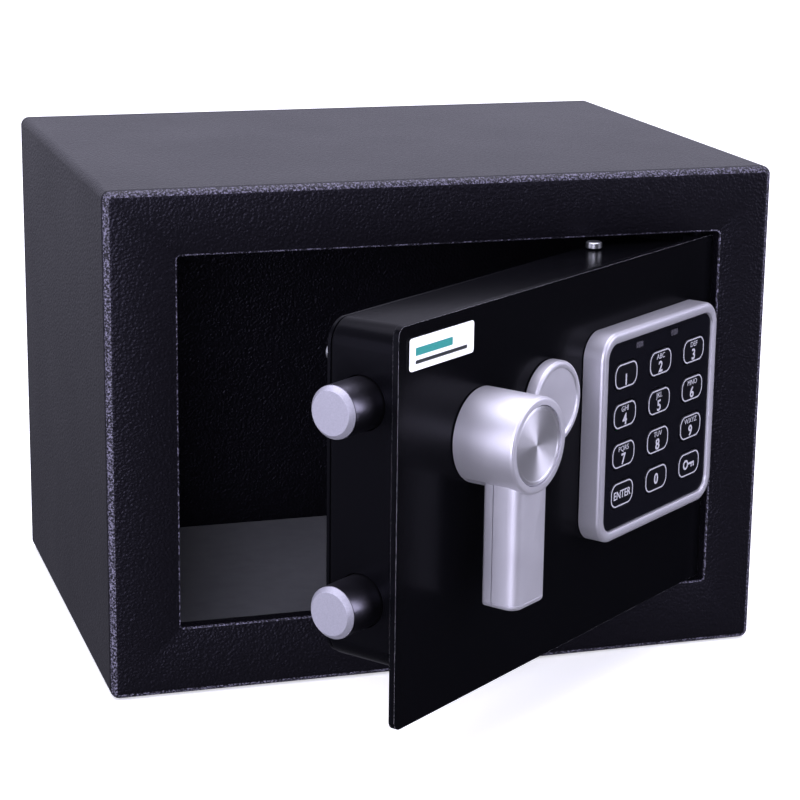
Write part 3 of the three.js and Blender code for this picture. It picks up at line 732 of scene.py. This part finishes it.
# ---- Keypad housing ----
# A moulded ABS frame in silver paint, screwed on from behind the skin. Its rim is flat with
# lightly rounded edges, and a ledge inside carries the key panel.
HOUSING = (100, 57.5, 174.5, 127)
HOUSING_CORNER = 8.5
HOUSING_FRONT, HOUSING_BACK = -7.8, -0.3
HOUSING_ROUND = 1.3
RIM = 3.5
LEDGE, LEDGE_WIDTH = -5, 1.8

# Metallic paint on a moulding: fine aluminium flake under a thin satin lacquer. The flakes are
# drawn larger than they are, so that they show.
silver_paint = new_finish("silver_flake_paint")
spot = add_node(silver_paint, "TexCoord").outputs["Object"]
flakes = add_node(silver_paint, "TexNoise", {"Vector": spot, "Scale": 6000, "Detail": 2})
tone = add_node(
    silver_paint,
    "Mix",
    {"Factor": flakes.outputs[0], 6: linear("#b4b2ba"), 7: linear("#dad9e0")},
    data_type="RGBA",
)
sparkle = add_node(
    silver_paint, "Bump", {"Height": flakes.outputs[0], "Distance": 0.00003, "Strength": 0.4}
)
shader = add_node(
    silver_paint,
    "BsdfPrincipled",
    {
        "Base Color": tone.outputs[2],
        "Metallic": 0.8,
        "Roughness": 0.46,
        "Coat Weight": 0.15,
        "Coat Roughness": 0.3,
        "Normal": sparkle.outputs[0],
    },
)
add_node(silver_paint, "OutputMaterial", {"Surface": shader.outputs[0]})

keypad_frame = to_object(
    "keypad_frame",
    loft(
        [(HOUSING, HOUSING_CORNER, HOUSING_BACK)]
        + rounded_corner(HOUSING, HOUSING_CORNER, HOUSING_FRONT, HOUSING_ROUND, 6)
        + [
            (inset(HOUSING, by), HOUSING_CORNER - by, depth)
            for by, depth in (
                (RIM - 0.5, HOUSING_FRONT),
                (RIM - 0.15, HOUSING_FRONT + 0.15),
                (RIM, HOUSING_FRONT + 0.5),
                (RIM, LEDGE),
                (RIM + LEDGE_WIDTH, LEDGE),
                (RIM + LEDGE_WIDTH, HOUSING_BACK),
            )
        ],
        closed=True,
        steps=12,
    ),
    DOOR,
)
complete(keypad_frame, silver_paint, "door", ["keypad_housing"])


# ---- Key panel and keys ----
# A gloss black polycarbonate panel with a separate key cap in each opening and two indicator
# windows. Each cap is screen printed with a thin ring, a figure and its letters in light grey.
PANEL_FACE, PANEL_BACK = -7, -5.3
KEY_FACE, KEY_BACK = -7.3, -4.6
KEY_SIZE = (14.4, 8.7)
KEY_CORNER = 3.6
GAP = 0.3  # room round each key cap, and round the panel in its housing
KEY_COLUMNS = (115.2, 137.2, 159.2)
KEY_ROWS = (112, 98.8, 85.5, 72.3)
INDICATORS = (123.7, 146.1)
INDICATOR_HEIGHT = 120.5
PRINT = 0.04  # thickness of the printing
RING_EDGE, RING_WIDTH = 0.35, 0.42
FIGURE_HEIGHT = 3.7
LETTERS = ("", "ABC", "DEF", "GHI", "JKL", "MNO", "PQRS", "TUV", "WXYZ")


def around(x, y, width, height):
    """A rectangle centred on a point."""
    return (x - width / 2, y - height / 2, x + width / 2, y + height / 2)


# Gloss moulded polycarbonate, with the faint smears of handling in its shine.
gloss_black = new_finish("gloss_black_polycarbonate")
spot = add_node(gloss_black, "TexCoord").outputs["Object"]
smear = add_node(
    gloss_black, "TexNoise", {"Vector": spot, "Scale": 60, "Detail": 5, "Distortion": 1}
)
gloss = add_node(
    gloss_black, "MapRange", {"Value": smear.outputs[0], "To Min": 0.12, "To Max": 0.26}
)
shader = add_node(
    gloss_black,
    "BsdfPrincipled",
    {"Base Color": linear("#0b0b10"), "Roughness": gloss.outputs[0], "Specular IOR Level": 0.15},
)
add_node(gloss_black, "OutputMaterial", {"Surface": shader.outputs[0]})

# The key caps are the same resin with a fine moulded texture, a little less shiny.
cap_black = new_finish("satin_black_key_resin")
spot = add_node(cap_black, "TexCoord").outputs["Object"]
texture = add_node(cap_black, "TexNoise", {"Vector": spot, "Scale": 4000, "Detail": 2})
sand = add_node(
    cap_black, "Bump", {"Height": texture.outputs[0], "Distance": 0.00002, "Strength": 0.5}
)
shader = add_node(
    cap_black,
    "BsdfPrincipled",
    {
        "Base Color": linear("#0c0c11"),
        "Roughness": 0.3,
        "Specular IOR Level": 0.15,
        "Normal": sand.outputs[0],
    },
)
add_node(cap_black, "OutputMaterial", {"Surface": shader.outputs[0]})

# Screen-printed ink, slightly uneven in cover.
key_ink = new_finish("light_grey_screen_ink")
spot = add_node(key_ink, "TexCoord").outputs["Object"]
cover = add_node(key_ink, "TexNoise", {"Vector": spot, "Scale": 2500, "Detail": 2})
tone = add_node(
    key_ink,
    "Mix",
    {"Factor": cover.outputs[0], 6: linear("#85858c"), 7: linear("#adadb5")},
    data_type="RGBA",
)
shader = add_node(key_ink, "BsdfPrincipled", {"Base Color": tone.outputs[2], "Roughness": 0.5})
add_node(key_ink, "OutputMaterial", {"Surface": shader.outputs[0]})


def lettering(bm, words, x, y, height, face, condensed=1, weight=0):
    """Adds raised printing, centred on a point, in the built-in sans serif."""
    curve = bpy.data.curves.new("lettering", "FONT")
    curve.body = words
    curve.size = height / 0.72  # the face's capitals stand 0.72 of its size
    curve.align_x = "CENTER"
    curve.resolution_u = 3
    curve.extrude = PRINT / 2
    curve.offset = weight * height
    sample = bpy.data.objects.new("lettering", curve)
    bpy.context.scene.collection.objects.link(sample)
    graph = bpy.context.evaluated_depsgraph_get()
    mesh = bpy.data.meshes.new_from_object(sample.evaluated_get(graph))
    widen = Matrix.Diagonal((condensed, 1, 1, 1))
    mesh.transform(Matrix.Translation((x, y - height / 2, PRINT / 2 - face)) @ widen)
    bm.from_mesh(mesh)
    bmesh.ops.remove_doubles(bm, verts=bm.verts, dist=1e-4)
    bpy.data.objects.remove(sample)
    bpy.data.meshes.remove(mesh)


def add_to(bm, other):
    """Adds one drawing to another."""
    mesh = bpy.data.meshes.new("part")
    other.to_mesh(mesh)
    other.free()
    bm.from_mesh(mesh)
    bpy.data.meshes.remove(mesh)


key_openings = [
    (around(x, y, KEY_SIZE[0] + 2 * GAP, KEY_SIZE[1] + 2 * GAP), KEY_CORNER + GAP)
    for y in KEY_ROWS
    for x in KEY_COLUMNS
]
windows = [(around(x, INDICATOR_HEIGHT, 4.6, 2.6), 0.5) for x in INDICATORS]
panel = plate(
    (inset(HOUSING, RIM + GAP), HOUSING_CORNER - RIM - GAP),
    key_openings + windows,
    PANEL_FACE,
    PANEL_BACK,
)
key_panel = to_object("key_panel", panel, DOOR)
complete(key_panel, gloss_black, "door", ["keypad_overlay"], edge=0.12)

key_names = ["1", "2", "3", "4", "5", "6", "7", "8", "9", "enter", "0", "unlock"]
for index, name in enumerate(key_names):
    x = KEY_COLUMNS[index % 3]
    y = KEY_ROWS[index // 3]
    shape = around(x, y, *KEY_SIZE)
    cap = loft(
        [(shape, KEY_CORNER, KEY_BACK)]
        + rounded_corner(shape, KEY_CORNER, KEY_FACE + 0.04, 0.3, 3)
        + [(inset(shape, 1.2), KEY_CORNER - 1.2, KEY_FACE)]
    )
    cap = to_object(f"key_cap_{name}", cap, DOOR)
    complete(cap, cap_black, f"key_{name}_cap", [f"key_{name}"])
    ring = [
        (inset(shape, by), KEY_CORNER - by, depth)
        for by, depth in (
            (RING_EDGE, KEY_FACE + 0.05),
            (RING_EDGE, KEY_FACE - PRINT),
            (RING_EDGE + RING_WIDTH, KEY_FACE - PRINT),
            (RING_EDGE + RING_WIDTH, KEY_FACE + 0.05),
        )
    ]
    print_work = loft(ring, closed=True)
    if name == "enter":
        lettering(print_work, "ENTER", x, y, 2.7, KEY_FACE, 0.95, 0.02)
    elif name == "unlock":
        bow = [(around(x - 2.1, y, 3.4, 3.4), 1.7), (around(x - 2.1, y, 2, 2), 1)]
        add_to(print_work, plate(bow[0], bow[1:], KEY_FACE - PRINT, KEY_FACE + 0.02))
        for bar in ((-0.4, -0.35, 3.6, 0.35), (1.5, -1.4, 2.1, -0.36), (2.9, -1.4, 3.6, -0.36)):
            rect = (x + bar[0], y + bar[1], x + bar[2], y + bar[3])
            add_to(print_work, plate((rect, 0.08), [], KEY_FACE - PRINT, KEY_FACE + 0.02, 2))
    elif name == "0":
        lettering(print_work, "0", x, y, FIGURE_HEIGHT, KEY_FACE, 1.05, 0.03)
    else:
        lettering(print_work, name, x, y - 1.3, FIGURE_HEIGHT, KEY_FACE, 1.05, 0.03)
        if LETTERS[index]:
            lettering(print_work, LETTERS[index], x, y + 2.2, 1.8, KEY_FACE, 1.1)
    print_work = to_object(f"key_print_{name}", print_work, DOOR)
    complete(print_work, key_ink, f"key_{name}_cap")


# ---- Indicator windows ----
# Two smoked acrylic light guides that stand just proud of the key panel.
# They are dark and translucent until the lamp behind them is lit.
smoked = new_finish("smoked_acrylic")
spot = add_node(smoked, "TexCoord").outputs["Object"]
haze = add_node(smoked, "TexNoise", {"Vector": spot, "Scale": 700, "Detail": 2})
tone = add_node(
    smoked,
    "Mix",
    {"Factor": haze.outputs[0], 6: linear("#2e2d33"), 7: linear("#4a4850")},
    data_type="RGBA",
)
shader = add_node(
    smoked,
    "BsdfPrincipled",
    {"Base Color": tone.outputs[2], "Roughness": 0.22, "Transmission Weight": 0.15, "IOR": 1.49},
)
add_node(smoked, "OutputMaterial", {"Surface": shader.outputs[0]})

for name, x in zip(("led_left", "led_right"), INDICATORS):
    guide = plate((around(x, INDICATOR_HEIGHT, 4, 2), 0.3), [], PANEL_FACE - 0.1, -4.4, 3)
    complete(to_object(name + "_guide", guide, DOOR), smoked, "door", [name], edge=0.15)


# ---- Lever handle ----
# A round hub with a bar hanging from it, die cast in zinc alloy in two halves and plated satin
# silver. The seam runs under the hub and down both sides of the bar, and a fine groove rings it.
HUB_RADIUS = 14.75
HUB_ROUND = 0.9
HUB_FRONT, HUB_BACK = -21.3, -0.4
BAR_SIDES = (33, 51)
BAR_FRONT, BAR_BACK = -20, -7.7
BAR_CORNERS = (1.2, 4)
BAR_END = 57
BAR_SEAM = -11.2
BAR_GROOVE = 0.18
SPINDLE_BORE, BORE_END = 5.2, -14.3
RECESS_RADIUS, RECESS_FLOOR = 12.3, -19.6
SEAM_TOP = 95.31
SEAM_GAP = 0.3

# Satin plating over a die casting: bright, softly blurred, with a barely visible fine grain.
satin_silver = new_finish("satin_plated_die_casting")
spot = add_node(satin_silver, "TexCoord").outputs["Object"]
fine = add_node(satin_silver, "TexNoise", {"Vector": spot, "Scale": 3500, "Detail": 3})
cloud = add_node(satin_silver, "TexNoise", {"Vector": spot, "Scale": 90, "Detail": 3})
tone = add_node(
    satin_silver,
    "Mix",
    {"Factor": cloud.outputs[0], 6: linear("#d6d4dc"), 7: linear("#e2e1e7")},
    data_type="RGBA",
)
gloss = add_node(
    satin_silver, "MapRange", {"Value": cloud.outputs[0], "To Min": 0.42, "To Max": 0.5}
)
blast = add_node(
    satin_silver, "Bump", {"Height": fine.outputs[0], "Distance": 0.00003, "Strength": 0.5}
)
shader = add_node(
    satin_silver,
    "BsdfPrincipled",
    {
        "Base Color": tone.outputs[2],
        "Metallic": 0.85,
        "Roughness": gloss.outputs[0],
        "Normal": blast.outputs[0],
    },
)
add_node(satin_silver, "OutputMaterial", {"Surface": shader.outputs[0]})

# The bar is skinned upwards, so its drawing lies down: depth runs up the door.
BAR_PLACE = DOOR @ Matrix.Rotation(math.pi / 2, 4, "X")


def whole_handle():
    """The hub and its bar in one, before the seam parts them."""
    hub = [(0, HUB_FRONT), (HUB_RADIUS - HUB_ROUND, HUB_FRONT)]
    for step in range(1, 6):
        turn = math.pi / 2 * step / 5
        along = HUB_FRONT + HUB_ROUND * (1 - math.cos(turn))
        hub.append((HUB_RADIUS - HUB_ROUND * (1 - math.sin(turn)), along))
    hub += [(HUB_RADIUS, HUB_BACK), (0, HUB_BACK)]
    whole = to_object("handle", turned(hub, (*HUB, 0), (0, 0, -1), steps=96), DOOR)
    section = (BAR_SIDES[0], -BAR_BACK, BAR_SIDES[1], -BAR_FRONT)
    end = rounded_corner(section, 4, 0, 1.1, 5)
    stations = [
        (rect, tuple(max(corner - rect[0] + section[0], 0.15) for corner in BAR_CORNERS), along)
        for rect, _, along in end
    ]
    stations = [(rect, corners, BAR_END + along) for rect, corners, along in reversed(stations)]
    for along, groove in ((1.5, 0), (1.6, BAR_GROOVE), (1.75, BAR_GROOVE), (1.85, 0)):
        corners = tuple(corner - groove for corner in BAR_CORNERS)
        stations.append((inset(section, groove), corners, BAR_END + along))
    stations.append((section, BAR_CORNERS, HUB[1]))
    bar = to_object("bar", loft(stations, steps=10), BAR_PLACE)
    combine(whole, "UNION", bar)
    return whole


def back_block(margin):
    """The room behind the bar and under the hub that the back casting fills."""
    rect = (BAR_SIDES[0] - margin, BAR_END - 5, BAR_SIDES[1] + margin, SEAM_TOP + margin)
    return to_object("block", plate((rect, 0.01), [], BAR_SEAM - margin, HUB_BACK + 1, 1), DOOR)


bores = rod((*HUB, 0), (0, 0, -1), SPINDLE_BORE, BORE_END, 1)
rod((*HUB, 0), (0, 0, -1), RECESS_RADIUS, HUB_FRONT - 1, RECESS_FLOOR, bores, steps=96)
cuts = (back_block(SEAM_GAP), to_object("bores", bores, DOOR))
for name, operation, tools, node in (
    ("handle_front_casting", "DIFFERENCE", cuts, "handle_shell"),
    ("handle_rear_casting", "INTERSECT", (back_block(0),), "handle_back"),
):
    casting = whole_handle()
    combine(casting, operation, *tools)
    casting.name = name
    complete(casting, satin_silver, "handle", [node], edge=0.15)


# ---- Handle cap ----
# An aluminium disc pressed into the hub's recess. It was faced on a lathe, and the fine rings
# that the tool left fan the light out into bright wedges.
CAP_RADIUS = 12

spun = new_finish("lathe_faced_aluminium")
around_disc = add_node(spun, "UVMap", uv_map="turning").outputs["UV"]
tangent = add_node(spun, "Tangent", direction_type="UV_MAP", uv_map="turning")
rings = add_node(
    spun,
    "TexWave",
    {"Vector": around_disc, "Scale": 6, "Distortion": 0.4, "Detail": 2, "Detail Scale": 2},
    bands_direction="Y",
)
ridge = add_node(
    spun, "Bump", {"Height": rings.outputs["Fac"], "Distance": 0.00001, "Strength": 0.3}
)
shader = add_node(
    spun,
    "BsdfPrincipled",
    {
        "Base Color": linear("#e2e1e6"),
        "Metallic": 0.9,
        "Roughness": 0.42,
        "Anisotropic": 0.85,
        "Anisotropic Rotation": 0.25,
        "Tangent": tangent.outputs[0],
        "Normal": ridge.outputs[0],
    },
)
add_node(spun, "OutputMaterial", {"Surface": shader.outputs[0]})


def turning_marks(bm, centre):
    """Lays a UV map on a disc, with U round it and V out from its centre."""
    layer = bm.loops.layers.uv.new("turning")
    centre = Vector(centre)
    for face in bm.faces:
        middle = face.calc_center_median().xy - centre
        for loop in face.loops:
            arm = loop.vert.co.xy - centre
            angle = 0 if arm.length < 0.01 else middle.angle_signed(arm)
            turn = (math.atan2(middle.y, middle.x) - angle) / (2 * math.pi)
            loop[layer].uv = (turn, arm.length / CAP_RADIUS)


cap = turned(
    [(0, -20.5), (3, -20.56), (7, -20.66), (10.7, -20.76), (11, -21), (11.6, -21), (11.88, -20.88)]
    + [(CAP_RADIUS, -20.6), (CAP_RADIUS, -19.9), (0, -19.9)],
    (*HUB, 0),
    (0, 0, -1),
    steps=96,
)
turning_marks(cap, HUB)
cap_disc = to_object("handle_cap_disc", cap, DOOR)
complete(cap_disc, spun, "handle", ["handle_cap"])


# ---- Locking bolts ----
# Two 16 mm steel bars, turned, chrome plated and riveted to the bolt carrier.
# The plating is smooth, so it mostly shows the dark room round it.
BOLT_RADIUS = 8
BOLT_TIP = -12.7
BOLT_NOSE = 1.65

chrome = new_finish("chrome_plated_steel")
spot = add_node(chrome, "TexCoord").outputs["Object"]
mark = add_node(chrome, "TexNoise", {"Vector": spot, "Scale": 200, "Detail": 4})
gloss = add_node(chrome, "MapRange", {"Value": mark.outputs[0], "To Min": 0.24, "To Max": 0.36})
polish = add_node(chrome, "TexNoise", {"Vector": spot, "Scale": 1500, "Detail": 2})
wave = add_node(chrome, "Bump", {"Height": polish.outputs[0], "Distance": 0.00002, "Strength": 0.3})
shader = add_node(
    chrome,
    "BsdfPrincipled",
    {
        "Base Color": linear("#77757f"),
        "Metallic": 1,
        "Roughness": gloss.outputs[0],
        "Normal": wave.outputs[0],
    },
)
add_node(chrome, "OutputMaterial", {"Surface": shader.outputs[0]})

# The nose and its chamfer are faced on the lathe after plating, which leaves them pale and matt.
faced_steel = new_finish("faced_bright_steel")
spot = add_node(faced_steel, "TexCoord").outputs["Object"]
tool = add_node(faced_steel, "TexNoise", {"Vector": spot, "Scale": 2200, "Detail": 3})
tone = add_node(
    faced_steel,
    "Mix",
    {"Factor": tool.outputs[0], 6: linear("#9b9aa4"), 7: linear("#b9b8c2")},
    data_type="RGBA",
)
rings = add_node(
    faced_steel, "Bump", {"Height": tool.outputs[0], "Distance": 0.00002, "Strength": 0.5}
)
shader = add_node(
    faced_steel,
    "BsdfPrincipled",
    {"Base Color": tone.outputs[2], "Metallic": 0.75, "Roughness": 0.5, "Normal": rings.outputs[0]},
)
add_node(faced_steel, "OutputMaterial", {"Surface": shader.outputs[0]})

for name, y in (("bolt_lower", BOLT_HEIGHTS[0]), ("bolt_upper", BOLT_HEIGHTS[1])):
    bolt = turned(
        [(0, BOLT_TIP), (6.5, BOLT_TIP), (6.6, BOLT_TIP + 0.04), (7.9, BOLT_TIP + BOLT_NOSE - 0.1)]
        + [(BOLT_RADIUS, BOLT_TIP + BOLT_NOSE + 0.1)]
        + [(BOLT_RADIUS, 19.8), (7.8, 20), (4, 20), (4, 26.3)]
        + [(3.8, 26.5), (0, 26.5)],
        (0, y, -BOLT_DEPTH),
        (1, 0, 0),
        steps=64,
    )
    bar = to_object(name + "_bar", bolt, DOOR)
    complete(bar, chrome, "bolts", [name], angle=20)
    bar.data.materials.append(faced_steel)
    for face in bar.data.polygons:
        along = (DOOR.inverted() @ face.center).x
        face.material_index = int(along < BOLT_TIP + BOLT_NOSE - 0.05)


# ---- Override lock ----
# A cam lock in a zinc barrel, nutted through the skin, with a brass plug and a flat keyhole.
# A turned cap hides it, and pulls straight off.
BARREL = [(5.7, -1.9), (9.6, -1.9), (10.1, -1.7), (10.5, -1.3), (10.5, -0.3), (8, -0.3)]

brass = new_finish("bare_machined_brass")
spot = add_node(brass, "TexCoord").outputs["Object"]
tarnish = add_node(brass, "TexNoise", {"Vector": spot, "Scale": 250, "Detail": 5})
tone = add_node(
    brass,
    "Mix",
    {"Factor": tarnish.outputs[0], 6: linear("#a3803c"), 7: linear("#cfae66")},
    data_type="RGBA",
)
gloss = add_node(brass, "MapRange", {"Value": tarnish.outputs[0], "To Min": 0.2, "To Max": 0.4})
shader = add_node(
    brass,
    "BsdfPrincipled",
    {"Base Color": tone.outputs[2], "Metallic": 1, "Roughness": gloss.outputs[0]},
)
add_node(brass, "OutputMaterial", {"Surface": shader.outputs[0]})

barrel = turned(BARREL + [(8, 19.7), (5.7, 19.7), BARREL[0]], (*LOCK, 0), (0, 0, -1), steps=64)
complete(to_object("lock_sleeve", barrel, DOOR), zinc, "door", ["lock_barrel"])

plug = turned(
    [(0, -1.7), (5.1, -1.7), (5.4, -1.4), (5.4, 19.7), (3, 19.7), (3, 22.8), (0, 22.8)],
    (*LOCK, 0),
    (0, 0, -1),
)
lock_core = to_object("lock_core_plug", plug, DOOR)
keyhole = plate((around(*LOCK, 1.6, 7), 0.3), [], -2.7, 6, 3)
combine(lock_core, "DIFFERENCE", to_object("keyhole", keyhole, DOOR))
complete(lock_core, brass, "lock_core", ["lock_plug"], edge=0.1)
frame["nodes"]["spindle_bush"].material_slots[0].material = brass

lid = turned(
    [(0, -3.9), (11, -3.9), (11.15, -3.98), (11.4, -4.32), (11.6, -4.4), (12.6, -4.4)]
    + [(12.95, -4.3), (13.35, -3.9), (13.5, -3.5), (13.5, -0.4)]
    + [(11.2, -0.4), (11.2, -2.4), (0, -2.4)],
    (*LOCK, 0),
    (0, 0, -1),
    steps=96,
)
lock_cap = to_object("lock_cap", lid, DOOR)
complete(lock_cap, satin_silver, "key_cap", ["key_cover"], angle=25)


# ---- Battery compartment ----
# A moulded black tray holds four dry cells end to end, under a steel lid with a thumb notch.
# Each cell is a steel can in printed shrink film, dark with a copper-coloured band at its plus end.
CELLS_X = (64.4, 78.8, 93.2, 107.6)
CELL_DEPTH = 16.6
CELL_LOW, CELL_HIGH = 46.3, 96.8
COPPER_ABOVE = (0.0825, 0.0827)  # the heights in metres where a cell's copper band starts
COPPER_BELOW = (0.0605, 0.0603)  # the same on a cell that stands on its head

moulded = new_finish("moulded_black_abs")
spot = add_node(moulded, "TexCoord").outputs["Object"]
spark = add_node(moulded, "TexNoise", {"Vector": spot, "Scale": 1800, "Detail": 3})
etch = add_node(moulded, "Bump", {"Height": spark.outputs[0], "Distance": 0.00005, "Strength": 0.5})
gloss = add_node(moulded, "MapRange", {"Value": spark.outputs[0], "To Min": 0.42, "To Max": 0.56})
shader = add_node(
    moulded,
    "BsdfPrincipled",
    {"Base Color": linear("#161618"), "Roughness": gloss.outputs[0], "Normal": etch.outputs[0]},
)
add_node(moulded, "OutputMaterial", {"Surface": shader.outputs[0]})
for name in ("battery_tray", "reset_switch", "wiring"):
    frame["nodes"][name].material_slots[0].material = moulded

for index, x in enumerate(CELLS_X):
    turned_over = index % 2 == 1
    wrap = new_finish("battery_shrink_film_" + ("down" if turned_over else "up"))
    spot = add_node(wrap, "TexCoord").outputs["Object"]
    height = add_node(wrap, "SeparateXYZ", {"Vector": spot}).outputs["Z"]
    band = COPPER_BELOW if turned_over else COPPER_ABOVE
    copper = add_node(wrap, "MapRange", {"Value": height, "From Min": band[0], "From Max": band[1]})
    grime = add_node(wrap, "TexNoise", {"Vector": spot, "Scale": 400, "Detail": 3})
    tone = add_node(
        wrap,
        "Mix",
        {"Factor": copper.outputs[0], 6: linear("#22252c"), 7: linear("#b07a4c")},
        data_type="RGBA",
    )
    gloss = add_node(wrap, "MapRange", {"Value": grime.outputs[0], "To Min": 0.22, "To Max": 0.4})
    shader = add_node(
        wrap,
        "BsdfPrincipled",
        {"Base Color": tone.outputs[2], "Metallic": 0.3, "Roughness": gloss.outputs[0]},
    )
    add_node(wrap, "OutputMaterial", {"Surface": shader.outputs[0]})
    can = [(0, 0), (6.4, 0), (6.85, 0.15), (7, 0.5), (7, 49), (6.8, 49.4), (6.4, 49.5), (2.9, 49.5)]
    can += [(2.7, 49.7), (2.7, 50.3), (2.5, 50.5), (0, 50.5)]
    base = CELL_HIGH if turned_over else CELL_LOW
    cell = turned(can, (x, base, -CELL_DEPTH), (0, -1 if turned_over else 1, 0))
    cell = to_object(f"dry_cell_{index + 1}", cell, DOOR)
    complete(cell, wrap, "door", [f"battery_{index + 1}"], angle=25)

lid = to_object(
    "battery_lid", plate((inset(BATTERY_WINDOW, 0.4), 1.6), [], COVER_FRONT, COVER_REAR), DOOR
)
thumb = rod((86, BATTERY_WINDOW[3], 0), (0, 0, -1), 6, COVER_REAR - 0.6, COVER_REAR + 1)
combine(lid, "DIFFERENCE", to_object("thumb", thumb, DOOR))
complete(lid, satin_coat, "battery_lid", ["battery_cover"], edge=0.2)


# ---- Reset button ----
# A red nylon button that stands out through the inner cover and presses a switch.
# The circuit board behind the keys is glass epoxy under a green solder mask.
red_nylon = new_finish("moulded_red_nylon")
spot = add_node(red_nylon, "TexCoord").outputs["Object"]
flow = add_node(red_nylon, "TexNoise", {"Vector": spot, "Scale": 500, "Detail": 3})
tone = add_node(
    red_nylon,
    "Mix",
    {"Factor": flow.outputs[0], 6: linear("#93231c"), 7: linear("#b5352b")},
    data_type="RGBA",
)
shader = add_node(
    red_nylon,
    "BsdfPrincipled",
    {"Base Color": tone.outputs[2], "Roughness": 0.38, "Subsurface Weight": 0.05},
)
add_node(red_nylon, "OutputMaterial", {"Surface": shader.outputs[0]})

button = turned(
    [(0, 20), (4, 20), (4, 21.5), (2.6, 21.5), (2.6, 28), (2.45, 28.35), (2.1, 28.5), (0, 28.5)],
    (*RESET, 0),
    (0, 0, -1),
)
reset_cap = to_object("reset_cap", button, DOOR)
complete(reset_cap, red_nylon, "reset", ["reset_button"], angle=50)

solder_mask = new_finish("green_solder_mask")
spot = add_node(solder_mask, "TexCoord").outputs["Object"]
tracks = add_node(solder_mask, "TexBrick", {"Vector": spot, "Scale": 400, "Mortar Size": 0.04})
tone = add_node(
    solder_mask,
    "Mix",
    {"Factor": tracks.outputs["Fac"], 6: linear("#1c5438"), 7: linear("#2f7a52")},
    data_type="RGBA",
)
shader = add_node(solder_mask, "BsdfPrincipled", {"Base Color": tone.outputs[2], "Roughness": 0.3})
add_node(solder_mask, "OutputMaterial", {"Surface": shader.outputs[0]})
frame["nodes"]["keypad_board"].material_slots[0].material = solder_mask


# ---- Studio ----
# A plain white sweep with a bright wall behind and above the safe, and a dim room in front of it.
# A large soft lamp hangs overhead, and three smaller ones stand left, front left and right.
FLOOR_SIZE = 5
FLOOR_DROP = 0.0002  # keeps the paper just clear of the cabinet's underside

floor_mesh = bmesh.new()
bmesh.ops.create_grid(floor_mesh, x_segments=1, y_segments=1, size=FLOOR_SIZE / 2)
floor = to_object("floor", floor_mesh, Matrix.Translation((0, 0, -FLOOR_DROP)))
paper = new_finish("white_studio_paper")
shader = add_node(
    paper,
    "BsdfPrincipled",
    {
        "Base Color": linear("#fafafa"),
        "Roughness": 0.9,
        "Emission Color": linear("#ffffff"),
        "Emission Strength": 0.45,
    },
)
add_node(paper, "OutputMaterial", {"Surface": shader.outputs[0]})
floor.data.materials.append(paper)
floor.visible_glossy = False


def add_lamp(name, place, aim, size, power, colour):
    """A square soft lamp that points at a place."""
    data = bpy.data.lights.new(name, "AREA")
    data.shape = "SQUARE"
    data.size = size
    data.energy = power
    data.color = linear(colour)[:3]
    lamp = bpy.data.objects.new(name, data)
    lamp.location = place
    lamp.rotation_euler = (Vector(aim) - Vector(place)).to_track_quat("-Z", "Y").to_euler()
    bpy.context.scene.collection.objects.link(lamp)


add_lamp("overhead", (0, 0.1, 1.7), (0, 0, 0.1), 2, 36, "#efedff")
add_lamp("left", (-1.7, -0.4, 0.45), (0, 0, 0.1), 1.2, 12, "#e9e7ff")
add_lamp("front_left", (-0.7, -1.6, 0.4), (0, -0.1, 0.1), 0.8, 23, "#e9e7ff")
add_lamp("right", (1.5, -0.7, 0.6), (0, -0.1, 0.1), 1.2, 16, "#e9e7ff")

# The room: pure white to the camera, and to everything else brightest behind and overhead,
# with a pale wall at the far left.
room = bpy.data.worlds.new("studio")
room.use_nodes = True
room.node_tree.nodes.clear()
way = add_node(room, "TexCoord").outputs["Generated"]
split = add_node(room, "SeparateXYZ", {"Vector": way})
walls = []
for axis, start, end, low, high in (
    ("Y", 0.1, 0.95, 0, 0.8),
    ("Z", -0.35, 0.2, 0.25, 1),
    ("Z", 0, 0.9, 0, 0.72),
    ("X", -0.7, -0.95, 0.015, 0.5),
):
    ramp = {"Value": split.outputs[axis], "From Min": start, "From Max": end}
    ramp |= {"To Min": low, "To Max": high}
    walls.append(add_node(room, "MapRange", ramp, interpolation_type="SMOOTHSTEP").outputs[0])
behind, off_floor, above, beside = walls
wall = add_node(room, "Math", {0: behind, 1: off_floor}, operation="MULTIPLY")
glow = add_node(room, "Math", {0: wall.outputs[0], 1: above}, operation="ADD")
level = add_node(room, "Math", {0: glow.outputs[0], 1: beside}, operation="ADD")
seen = add_node(room, "LightPath").outputs["Is Camera Ray"]
strength = add_node(
    room, "Mix", {"Factor": seen, "A": level.outputs[0], "B": 1.4}, data_type="FLOAT"
)
sky = add_node(room, "Background", {"Color": linear("#e9e7ff"), "Strength": strength.outputs[0]})
add_node(room, "OutputWorld", {"Surface": sky.outputs[0]})
bpy.context.scene.world = room
bpy.context.scene.view_settings.view_transform = "Standard"

# The camera stands at eye height to the left of the safe, with a long lens.
camera_data = bpy.data.cameras.new("camera")
camera_data.lens = 108.8
camera = bpy.data.objects.new("camera", camera_data)
bpy.context.scene.collection.objects.link(camera)
stand = Vector((-0.2480, -0.8256, 0.3006))
target = Vector((-0.0074, -0.0550, 0.0883))
look = (target - stand).to_track_quat("-Z", "Y").to_matrix().to_4x4()
level_out = Matrix.Rotation(math.radians(0.75), 4, "Z")
camera.matrix_world = Matrix.Translation(stand) @ look @ level_out
bpy.context.scene.camera = camera
